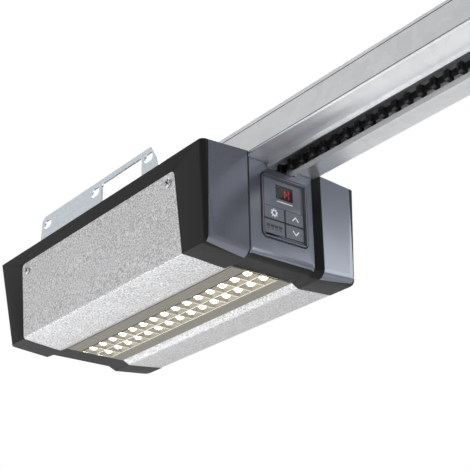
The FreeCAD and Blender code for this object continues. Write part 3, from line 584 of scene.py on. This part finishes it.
def is_bend(edge):
    if len(edge.link_faces) != 2 or not edge.is_convex:
        return False
    span = edge.verts[1].co - edge.verts[0].co
    if abs(span.x) < LONG or edge.calc_face_angle() < LEAST_FOLD:
        return False
    return all(f.calc_area() / span.length > CUT_EDGE for f in edge.link_faces)


sheet = merged_copy("cover_sheet")
bends = [e for e in sheet.edges if is_bend(e)]
bmesh.ops.bevel(sheet, geom=bends, offset=BEND_R, segments=4, profile=0.5, affect="EDGES", material=-1)
print("bends:", len(bends))
cover = link_piece("folded_cover", sheet)
round_edges(cover, SHEET_RADIUS)
show(cover, BODY_OF["cover_sheet"], "cover_metal", ["cover_sheet"])

# %% [markdown]
# ## The rail
# The rail is rolled from one strip, and its two lips turn down beside the slot. The inner sides of the
# lips get a finish of their own, pale and with little metal shine: painted light that stands in for the
# light seen on them.
# The two rolled beads along each side are narrow, and a dark strip stands for the shade in each.

# %% Rail with painted light on the inner lips
rail_low, rail_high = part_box("rail")
LIP_REACH, LIP_H = 20 * MM, 6 * MM
rail_mesh = merged_copy("rail")
for side in (-1, 1):
    span_low = (rail_low.x, min(0, side * LIP_REACH), rail_low.z - MM)
    span_high = (rail_high.x, max(0, side * LIP_REACH), rail_low.z + LIP_H)
    # The lips' inner faces get the painted light finish.
    for lip in facing(rail_mesh, span_low, span_high, 1, -side):
        lip.material_index = 1
print("dull lip faces:", sum(f.material_index for f in rail_mesh.faces))
rail_piece = link_piece("rolled_rail", rail_mesh)
round_edges(rail_piece, SHEET_RADIUS)
show(rail_piece, BODY_OF["rail"], "galvanised", ["rail"], [finishes["galvanised"], painted_light_zinc])
print("rail in mm:", [round(1000 * v, 1) for v in (*rail_low, *rail_high)])

# %% Shade in the rail's beads
BEAD_H, BEAD_SKIN, BEAD_DEPTH = 0.7 * MM, 0.02 * MM, 0.4 * MM
BEAD_DROPS = (4.05 * MM, 27.8 * MM)     # from the rail's top
beads = bmesh.new()
for side in (-1, 1):
    ys = sorted((side * (rail_high.y - BEAD_SKIN), side * (rail_high.y - BEAD_DEPTH)))
    for drop in BEAD_DROPS:
        z = rail_high.z - drop
        fill_box(beads, (rail_low.x, ys[0], z - BEAD_H / 2), (rail_high.x, ys[1], z + BEAD_H / 2))
bead_shade = link_piece("bead_shade", beads)
show(bead_shade, BODY_OF["rail"], "galvanised", materials=[painted_shade_finish])
print("beads:", 2 * len(BEAD_DROPS))

# %% [markdown]
# ## Rim of the key field
# The rim is one moulding with two fine grooves that look like dark lines. The grooves are not cut: the
# front face of the ring is inset on both of its sides at once, and the narrow bands that this makes get
# painted shade in place of the shade in the grooves.

# %% Rim with painted shade outlines
OUTLINE, FRONT_SPAN = 0.75 * MM, 0.1 * MM
ring_low, ring_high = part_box("keypad_bezel")
ring = merged_copy("keypad_bezel")
front_low = (ring_high.x - FRONT_SPAN, ring_low.y, ring_low.z)
front_high = (ring_high.x + FRONT_SPAN, ring_high.y, ring_high.z)
front = facing(ring, front_low, front_high, 0, 1)
bands = bmesh.ops.inset_region(ring, faces=front, thickness=OUTLINE, use_even_offset=True)["faces"]
# The narrow bands get painted shade in place of the shade in the rim's grooves.
for band in bands:
    band.material_index = 1
rim_piece = link_piece("key_field_rim", ring)
smooth_sides(rim_piece)
show(rim_piece, BODY_OF["keypad_bezel"], "bezel", ["keypad_bezel"], [finishes["bezel"], painted_shade_finish])
print("rim front faces:", len(front), "dark bands:", len(bands))

# %% [markdown]
# ## Cover screws
# Four small pan-head screws with a cross recess hold the cover sheet. The head is a disc whose top is
# inset and raised into a low dome. Planes then cut the top face into a cross and four corners, and the
# cross is pushed down. A Boolean would cut the same recess, but leaves long thin triangles.

# %% Helpers for cutting and raising faces


def cut(bm, point, normal, faces=None):
    """Cut the whole mesh, or only some faces, along a plane."""
    geom = bm.faces[:] if faces is None else list(faces)
    edges = {e for f in geom for e in f.edges}
    verts = {v for f in geom for v in f.verts}
    bmesh.ops.bisect_plane(bm, geom=[*verts, *edges, *geom], plane_co=point, plane_no=normal)


def raise_faces(bm, faces, offset):
    """Extrude faces as one region by an offset and give back the moved faces."""
    grown = bmesh.ops.extrude_face_region(bm, geom=list(faces))["geom"]
    bmesh.ops.translate(bm, verts=verts_of(grown), vec=offset)
    bmesh.ops.delete(bm, geom=list(faces), context="FACES")
    return faces_of(grown)


def raise_dome(bm, top, radius, height, steps):
    """Raise a round face in steps: a share of the radius inwards, a share of the height upwards."""
    for inwards, upwards in steps:
        bmesh.ops.inset_region(bm, faces=top, thickness=radius * inwards, depth=height * upwards)


def add_turned(whole, part, matrix):
    """Move a small bmesh into place and add it to a larger one."""
    bmesh.ops.transform(part, matrix=matrix, verts=part.verts)
    mesh = bpy.data.meshes.new("part")
    part.to_mesh(mesh)
    part.free()
    whole.from_mesh(mesh)
    bpy.data.meshes.remove(mesh)


# %% Cross-recess screw heads
SCREW_R, SCREW_H, SCREW_SIDES = 4.2 * MM, 1.5 * MM, 24
SEAT_DEPTH = 0.1 * MM          # the heads end this far inside the box of the solids
SLOT_HALF, SLOT_DEPTH = 0.6 * MM, 0.9 * MM
HEAD_WALL, HEAD_DOME = 0.55, ((0.14, 0.28), (0.20, 0.17))
TURN_START, TURN_STEP = 25, 31     # degrees, so that no two screws stop at the same turn


def screw_head():
    """A pan head standing on z = 0 with its recess on top."""
    bm = bmesh.new()
    bmesh.ops.create_circle(bm, cap_ends=True, segments=SCREW_SIDES, radius=SCREW_R)
    top = raise_faces(bm, bm.faces[:], (0, 0, SCREW_H * HEAD_WALL))
    raise_dome(bm, top, SCREW_R, SCREW_H, HEAD_DOME)

    def top_faces():
        return [f for f in bm.faces if f.calc_center_median().z > SCREW_H * 0.99]

    for side in (-SLOT_HALF, SLOT_HALF):
        for normal in ((1, 0, 0), (0, 1, 0)):
            cut(bm, Vector(normal) * side, normal, top_faces())
    cross = [f for f in top_faces() if min(abs(c) for c in f.calc_center_median().xy) < SLOT_HALF]
    # The sunk cross gets painted shade, darker than the zinc of the head, for the shade inside the
    # recess.
    for sunk in raise_faces(bm, cross, (0, 0, -SLOT_DEPTH)):
        sunk.material_index = 1
    bmesh.ops.holes_fill(bm, edges=bm.edges, sides=SCREW_SIDES)
    bmesh.ops.recalc_face_normals(bm, faces=bm.faces)
    return bm


screw_low, screw_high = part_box("cover_screws")
seat_z = (screw_low.z + screw_high.z) / 2
screws = bmesh.new()
for side in (-1, 1):
    for x in (screw_low.x + SCREW_R, screw_high.x - SCREW_R):
        seat = Vector((x, side * (screw_high.y - SCREW_H - SEAT_DEPTH), seat_z))
        outward = Vector((0, side, 0)).to_track_quat("Z", "X").to_matrix().to_4x4()
        twist = Matrix.Rotation(math.radians(TURN_START + TURN_STEP * x / SCREW_R), 4, "Z")
        add_turned(screws, screw_head(), Matrix.Translation(seat) @ outward @ twist)
cover_screws = link_piece("cover_screw_heads", screws)
smooth_sides(cover_screws)
show(cover_screws, BODY_OF["cover_screws"], "zinc_steel", ["cover_screws"],
     [finishes["zinc_steel"], painted_shade_finish])
print("screw heads: 4, faces:", len(cover_screws.data.polygons))

# %% [markdown]
# ## The lamp
# Two rows of fifteen light-emitting diodes sit in square reflector cells behind a clear cover. The
# reflector starts as one block. Planes divide its underside into cells, and each cell face is inset three
# times: once level, which leaves the rim, and twice with depth, which gives a dish with two slopes. Doing
# all cells in one operation keeps them identical. The rims and slopes glow with painted light that stands
# in for the emitters' light on them. The long rims glow more than the cross rims. The slopes that face
# sideways are a lit copy and glow more than those that face along the lamp, which are a shaded copy. So
# the mesh has five finishes: one for each of these and one for the rest.

# %% Reflector cells
CELL_COLUMNS, CELL_ROWS = 15, 2
RIM = 0.85 * MM
DISH = ((1.4 * MM, 1.7 * MM), (0.8 * MM, 1.3 * MM))     # width and depth of each slope
block_low, block_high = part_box("led_reflector")
cell_x = (block_high.x - block_low.x) / CELL_COLUMNS
cell_y = (block_high.y - block_low.y) / CELL_ROWS
block = bmesh.new()
fill_box(block, block_low, block_high)
for column in range(1, CELL_COLUMNS):
    cut(block, (block_low.x + column * cell_x, 0, 0), (1, 0, 0))
cut(block, (0, 0, 0), (0, 1, 0))
mouths = [f for f in block.faces if f.normal.z < -0.9]
print("reflector cells:", len(mouths))


def inset_cells(width, depth=0.0):
    """Inset every cell face and give back the faces that this makes."""
    before = set(block.faces)
    bmesh.ops.inset_individual(block, faces=mouths, thickness=width, depth=-depth,
                               use_even_offset=True)
    return set(block.faces) - before


for rim in inset_cells(RIM):
    spread = [max(v.co[a] for v in rim.verts) - min(v.co[a] for v in rim.verts) for a in (0, 1)]
    rim.material_index = 1 if spread[0] > spread[1] else 2
for slope_width, slope_depth in DISH:
    for slope in inset_cells(slope_width, slope_depth):
        slope.material_index = 3 if abs(slope.normal.y) > abs(slope.normal.x) else 4
reflector = link_piece("reflector_cells", block)
show(reflector, BODY_OF["led_reflector"], "reflector", ["led_reflector"],
     [finishes["reflector"], painted_glow_long_rim, painted_glow_cross_rim, painted_lit_slope, painted_shaded_slope])

# %% Emitters: a square package with a domed lens on each
PACKAGE_W, PACKAGE_H = 6.6 * MM, 0.5 * MM
DOME_R, DOME_H, DOME_SIDES, DOME_WALL = 3.5 * MM, 2.0 * MM, 12, 0.3 * MM
LENS_DOME = ((0.22, 0.55), (0.40, 0.35))


def emitter():
    """One emitter, with its dome towards +Z."""
    bm = bmesh.new()
    add_block(bm, (PACKAGE_W, PACKAGE_W, PACKAGE_H))
    bmesh.ops.create_circle(bm, cap_ends=True, segments=DOME_SIDES, radius=DOME_R)
    foot = [f for f in bm.faces if len(f.verts) == DOME_SIDES]
    bmesh.ops.translate(bm, verts=foot[0].verts, vec=(0, 0, PACKAGE_H / 2))
    raise_dome(bm, raise_faces(bm, foot, (0, 0, DOME_WALL)), DOME_R, DOME_H, LENS_DOME)
    return bm


dish_floor = block_low.z + sum(depth for _, depth in DISH)
downward = Matrix.Rotation(math.pi, 4, "X")
emitters = bmesh.new()
for column in range(CELL_COLUMNS):
    for row in range(CELL_ROWS):
        centre = Vector((block_low.x + (column + 0.5) * cell_x, block_low.y + (row + 0.5) * cell_y,
                         dish_floor))
        add_turned(emitters, emitter(), Matrix.Translation(centre) @ downward)
bmesh.ops.recalc_face_normals(emitters, faces=emitters.faces)
lamp_emitters = link_piece("lamp_emitters", emitters)
smooth_sides(lamp_emitters, math.radians(60))
show(lamp_emitters, BODY_OF["led_emitters"], "emitter", ["led_emitters"])
print("emitters:", CELL_COLUMNS * CELL_ROWS, "faces:", len(lamp_emitters.data.polygons))

# %% Clear cover of the lamp, with a raised rib over the middle rim
RIB_HALF, RIB_EDGE, RIB_H = 0.5 * MM, 0.2 * MM, 0.3 * MM
lens_low, lens_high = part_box("led_lens")
lens = bmesh.new()
fill_box(lens, lens_low, lens_high)
for y in (-RIB_HALF, RIB_HALF):
    cut(lens, (0, y, 0), (0, 1, 0))
ribs = [f for f in lens.faces if f.normal.z < -0.9 and abs(f.calc_center_median().y) < RIB_HALF]
bmesh.ops.inset_region(lens, faces=ribs, thickness=RIB_EDGE, depth=-RIB_H)
lamp_cover = link_piece("lamp_cover", lens)
round_edges(lamp_cover, 0.15 * MM)
show(lamp_cover, BODY_OF["led_lens"], "lens_clear", ["led_lens"])
print("lamp cover faces:", len(lamp_cover.data.polygons))

# %% [markdown]
# ## Display and key printing
# Behind the smoked window sits a two-figure display, and the keys carry plain marks: arrows for up and
# down and a cog for the set-up key. The marks are thin raised prints, so they are made as shapes and
# not as a picture. Text objects could give figures, but seven bars are what a real display has.

# %% Seven-segment figures
PRINT = 0.12 * MM              # thickness of bars and prints
FIGURE_W, FIGURE_H, BAR_W = 4.6 * MM, 9.0 * MM, 1.25 * MM
DISPLAY_DEPTH = 0.26 * MM      # from the window's back to the bars
window_low, window_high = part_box("display_window")
display_x = window_low.x - DISPLAY_DEPTH
window_middle = (window_low + window_high) / 2


def add_bar(bm, centre, length, upright):
    """A bar with pointed ends across X, added to a bmesh."""
    before = set(bm.verts)

    def new_verts():
        return [v for v in bm.verts if v not in before]

    bmesh.ops.create_circle(bm, cap_ends=True, segments=4, radius=BAR_W / 2)
    tips = set(new_verts())
    raise_faces(bm, [next(f for f in bm.faces if set(f.verts) == tips)], (0, 0, PRINT))
    cut(bm, (0, 0, 0), (1, 0, 0), {f for v in new_verts() for f in v.link_faces})
    verts = new_verts()
    for v in verts:
        if abs(v.co.x) > 1e-7:          # the cut's own points stay in the middle
            v.co.x += math.copysign((length - BAR_W) / 2, v.co.x)
    stand = Matrix.Rotation(math.radians(90), 4, "Y")
    lie = Matrix.Identity(4) if upright else Matrix.Rotation(math.radians(90), 4, "X")
    bmesh.ops.transform(bm, matrix=Matrix.Translation(centre) @ lie @ stand, verts=verts)


def figure(middle_y, middle_z):
    """The seven bars of one figure as name: (y, z, upright)."""
    w, h = FIGURE_W / 2, FIGURE_H / 4
    return {
        "top": (middle_y, middle_z + 2 * h, False),
        "middle": (middle_y, middle_z, False),
        "bottom": (middle_y, middle_z - 2 * h, False),
        "upper left": (middle_y - w, middle_z + h, True),
        "upper right": (middle_y + w, middle_z + h, True),
        "lower left": (middle_y - w, middle_z - h, True),
        "lower right": (middle_y + w, middle_z - h, True),
    }


for figure_name, shift, left_out, material in (
    ("left_figure", -4.4 * MM, {"top", "upper left"}, unlit_red),
    ("right_figure", 4.2 * MM, {"top", "bottom"}, lit_red),
):
    bars = bmesh.new()
    for bar_name, (y, z, upright) in figure(window_middle.y + shift, window_middle.z).items():
        if bar_name not in left_out:
            add_bar(bars, (display_x, y, z), FIGURE_H / 2 if upright else FIGURE_W, upright)
    piece = link_piece(figure_name, bars)
    show(piece, "head", "signal_red", materials=[material])
print("figures: 2")

# %% Arrows on the up and down keys
ARROW_W, ARROW_H, STROKE = 6.0 * MM, 3.2 * MM, 1.25 * MM
ARROW_SIDE = 0.9 * MM     # the arrows sit a little beside the middle of their keys


def arrow(key_name, points_up):
    """Half of the arrow is a tilted bar cut off at the middle, and the other half is its mirror."""
    low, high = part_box(key_name)
    bm = bmesh.new()
    add_block(bm, (PRINT, math.hypot(ARROW_W / 2, ARROW_H) + STROKE, STROKE))
    turn_mesh(bm, math.degrees(math.atan2(ARROW_H, ARROW_W / 2)), "X")
    bmesh.ops.translate(bm, verts=bm.verts, vec=(0, -ARROW_W / 4, 0))
    bmesh.ops.bisect_plane(bm, geom=bm.verts[:] + bm.edges[:] + bm.faces[:],
                           plane_co=(0, 0, 0), plane_no=(0, 1, 0), clear_outer=True)
    bmesh.ops.mirror(bm, geom=bm.verts[:] + bm.edges[:] + bm.faces[:], axis="Y", merge_dist=1e-5)
    if not points_up:
        turn_mesh(bm, 180, "X")
    bmesh.ops.recalc_face_normals(bm, faces=bm.faces)
    middle = (low + high) / 2
    bmesh.ops.translate(bm, verts=bm.verts, vec=(high.x + PRINT / 2, middle.y + ARROW_SIDE, middle.z))
    return bm


for key_name, points_up in (("up_key", True), ("down_key", False)):
    piece = link_piece(key_name.replace("key", "arrow"), arrow(key_name, points_up))
    show(piece, BODY_OF[key_name], "key_grey", materials=[white_print])
print("arrows: 2")

# %% Cog on the set-up key
COG_R, COG_TEETH = 3.1 * MM, 8
COG_RING, TOOTH_REACH = 0.45, 1.32      # ring width and tooth tips as shares of the radius


def angle_of(edge):
    middle = edge.verts[0].co + edge.verts[1].co
    return math.atan2(middle.y, middle.x)


cog = bmesh.new()
bmesh.ops.create_circle(cog, cap_ends=True, segments=2 * COG_TEETH, radius=COG_R)
hub = cog.faces[:]
bmesh.ops.inset_region(cog, faces=hub, thickness=COG_R * COG_RING, use_boundary=True)
bmesh.ops.delete(cog, geom=hub, context="FACES")
outer = [e for e in cog.edges if e.is_boundary and e.verts[0].co.length > COG_R * 0.9]
grown = bmesh.ops.extrude_edge_only(cog, edges=sorted(outer, key=angle_of)[::2])["geom"]
bmesh.ops.scale(cog, verts=verts_of(grown), vec=(TOOTH_REACH, TOOTH_REACH, 1))
solid_cog = bmesh.ops.extrude_face_region(cog, geom=cog.faces[:])["geom"]
bmesh.ops.translate(cog, verts=verts_of(solid_cog), vec=(0, 0, PRINT))
bmesh.ops.recalc_face_normals(cog, faces=cog.faces)
set_low, set_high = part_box("programme_key")
set_middle = (set_low + set_high) / 2
turn_mesh(cog, 90, "Y")
bmesh.ops.translate(cog, verts=cog.verts, vec=(set_high.x, set_middle.y, set_middle.z))
piece = link_piece("set_up_cog", cog)
show(piece, BODY_OF["programme_key"], "key_grey", materials=[white_print])
print("cog teeth:", COG_TEETH, "faces:", len(piece.data.polygons))

# %% [markdown]
# ## Plain marks and painted shade lines
# A thin line is printed under the window, and a row of small plates shows the order of the set-up steps.
# Narrow dark strips paint the shade in the gaps between the keys. All are low blocks, at most about a
# tenth of a millimetre thick.

# %% Line under the window
LINE_DROP, LINE_H = 3.4 * MM, 0.9 * MM
LINE_ENDS = (1.0 * MM, 0.6 * MM)        # how far it stops short of the window's two sides
face_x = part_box("keypad_plate")[1].x
line_z = window_low.z - LINE_DROP
line = bmesh.new()
fill_box(line, (face_x, window_low.y + LINE_ENDS[0], line_z),
         (face_x + PRINT, window_high.y - LINE_ENDS[1], line_z + LINE_H))
piece = link_piece("line_under_window", line)
show(piece, BODY_OF["keypad_plate"], "key_grey", materials=[white_print])
print("line length in mm:", round(1000 * (window_high.y - window_low.y - sum(LINE_ENDS)), 1))

# %% Steps on the small plate
STEPS, STRIP_MARGIN = 4, 2.5 * MM
STEP_MARKS = (
    # gap at each side, lower edge and upper edge from the plate's middle
    (0.5 * MM, -0.2 * MM, 2.2 * MM),
    (1.2 * MM, -2.4 * MM, -1.4 * MM),
)
picture_low, picture_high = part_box("pictogram_plate")
step_w = (picture_high.y - picture_low.y - 2 * STRIP_MARGIN) / STEPS
strip_z = (picture_low.z + picture_high.z) / 2
strip = bmesh.new()
for step in range(STEPS):
    y = picture_low.y + STRIP_MARGIN + step * step_w
    for gap, low_z, high_z in STEP_MARKS:
        fill_box(strip, (picture_high.x, y + gap, strip_z + low_z),
                 (picture_high.x + PRINT, y + step_w - gap, strip_z + high_z))
piece = link_piece("step_strip", strip)
show(piece, BODY_OF["pictogram_plate"], "key_grey", materials=[dark_print])
print("steps:", STEPS)

# %% Painted shade in the gaps between the keys
LINE_W, LINE_T, LINE_OUT = 0.7 * MM, 0.05 * MM, 0.2 * MM
up_low, up_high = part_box("up_key")
down_low, down_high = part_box("down_key")
split_y = (set_high.y + up_low.y) / 2
# Painted shade: dark strips on the key plate stand in for the shade in the gaps between the keys.
gap_shade_strips = bmesh.new()
for z in (up_high.z + LINE_OUT, (up_low.z + down_high.z) / 2, down_low.z - LINE_OUT):
    fill_box(gap_shade_strips, (face_x, set_low.y, z - LINE_W / 2), (face_x + LINE_T, up_high.y, z + LINE_W / 2))
fill_box(gap_shade_strips, (face_x, split_y - LINE_W / 2, down_low.z),
         (face_x + LINE_T, split_y + LINE_W / 2, up_high.z))
piece = link_piece("key_gap_shade", gap_shade_strips)
show(piece, BODY_OF["keypad_plate"], "key_grey", materials=[painted_shade_finish])
print("shut lines: 4")

# %% [markdown]
# ## The toothed belt
# The belt is a flat band with large rounded teeth that look like knobs from below. The band is one
# rectangular profile that is drawn along the rail, spun half a turn round each pulley and drawn back.
# Two narrow cords along its edges are drawn in the same way and stand out a little. Each tooth is a
# small block with bevelled edges. There are about a hundred, so each has few faces.

# %% Belt band
BELT_R = 13.85 * MM            # to the middle of the belt
BAND_T, BAND_H = 1.44 * MM, 5.2 * MM
CORD_T, CORD_H = 2.4 * MM, 1.32 * MM
CORD_SHIFT = 0.36 * BAND_H     # each cord's distance from the band's middle
HALF_TURN_STEPS = 16
belt_low, belt_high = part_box("drive_belt")
drive_low, drive_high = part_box("drive_sprocket")
idler_low, idler_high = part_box("idler_pulley")
drive_x, idler_x = (drive_low.x + drive_high.x) / 2, (idler_low.x + idler_high.x) / 2
belt_z = (belt_low.z + belt_high.z) / 2


def add_loop(bm, z_middle, thick, high):
    """One rectangular profile drawn round both pulleys."""
    start = bmesh.ops.create_circle(bm, segments=4, radius=math.sqrt(0.5))["verts"]
    for degrees, axis in ((45, "Z"), (90, "Y")):
        turn = Matrix.Rotation(math.radians(degrees), 3, axis)
        bmesh.ops.rotate(bm, verts=start, cent=(0, 0, 0), matrix=turn)
    bmesh.ops.scale(bm, verts=start, vec=(1, thick, high))
    bmesh.ops.translate(bm, verts=start, vec=(drive_x, BELT_R, z_middle))
    edges = list({e for v in start for e in v.link_edges})
    for target_x, sign in ((idler_x, 1), (drive_x, -1)):
        run = bmesh.ops.extrude_edge_only(bm, edges=edges)["geom"]
        bmesh.ops.translate(bm, verts=verts_of(run), vec=(sign * (idler_x - drive_x), 0, 0))
        last = [e for e in edges_of(run) if all(abs(v.co.x - target_x) < 1e-6 for v in e.verts)]
        geom = last + list({v for e in last for v in e.verts})
        turned = bmesh.ops.spin(bm, geom=geom, cent=(target_x, 0, 0), axis=(0, 0, -1),
                                angle=math.pi, steps=HALF_TURN_STEPS)["geom_last"]
        edges = edges_of(turned)


belt = bmesh.new()
add_loop(belt, belt_z, BAND_T, BAND_H)
for shift in (-CORD_SHIFT, CORD_SHIFT):
    add_loop(belt, belt_z + shift, CORD_T, CORD_H)
bmesh.ops.remove_doubles(belt, verts=belt.verts, dist=1e-6)
bmesh.ops.recalc_face_normals(belt, faces=belt.faces)
print("belt band faces:", len(belt.faces))

# %% Belt teeth
TOOTH = Vector((5.6, 8.5, 9.6)) * MM
TOOTH_ROUNDING, PITCH = 1.6 * MM, 14.5 * MM
FIRST_TOOTH, LAST_TOOTH = 3 * MM, 2 * MM     # from the drive's axis, and before the idler's
ROUND_PULLEY = (-60, 0, 60)                  # degrees from the way that each half turn faces


def add_tooth(matrix):
    bm = bmesh.new()
    add_block(bm, TOOTH)
    bmesh.ops.bevel(bm, geom=bm.edges[:], offset=TOOTH_ROUNDING, segments=2, profile=0.5,
                    affect="EDGES", material=-1)
    add_turned(belt, bm, matrix)


teeth_made = 0
x = drive_x + FIRST_TOOTH
while x < idler_x - LAST_TOOTH:
    for side in (-1, 1):
        add_tooth(Matrix.Translation((x, side * BELT_R, belt_z)))
        teeth_made += 1
    x += PITCH
on_pulley = Matrix.Translation((BELT_R, 0, 0)) @ Matrix.Rotation(math.radians(90), 4, "Z")
for centre_x, looks in ((drive_x, 180), (idler_x, 0)):
    for angle in ROUND_PULLEY:
        turn = Matrix.Rotation(math.radians(looks + angle), 4, "Z")
        add_tooth(Matrix.Translation((centre_x, 0, belt_z)) @ turn @ on_pulley)
        teeth_made += 1
toothed_belt = link_piece("toothed_belt", belt)
smooth_sides(toothed_belt, math.radians(50))
show(toothed_belt, BODY_OF["drive_belt"], "rubber_black", ["drive_belt"])
print("belt teeth:", teeth_made, "faces:", len(toothed_belt.data.polygons))

# %% [markdown]
# ## Parts inside the housing
# The motor, gearbox, transformer and boards are only seen when the housing is open. Their solids stay as
# they are and get a finish in their own material slots.

# %% Finish every solid that stays
staying = {name: solid for name, solid in frame["nodes"].items() if not solid.hide_render}
for name, solid in staying.items():
    for material_slot in solid.material_slots:
        material_slot.material = finishes[SLOT_OF[name]]
print("solids with their own finish:", len(staying))
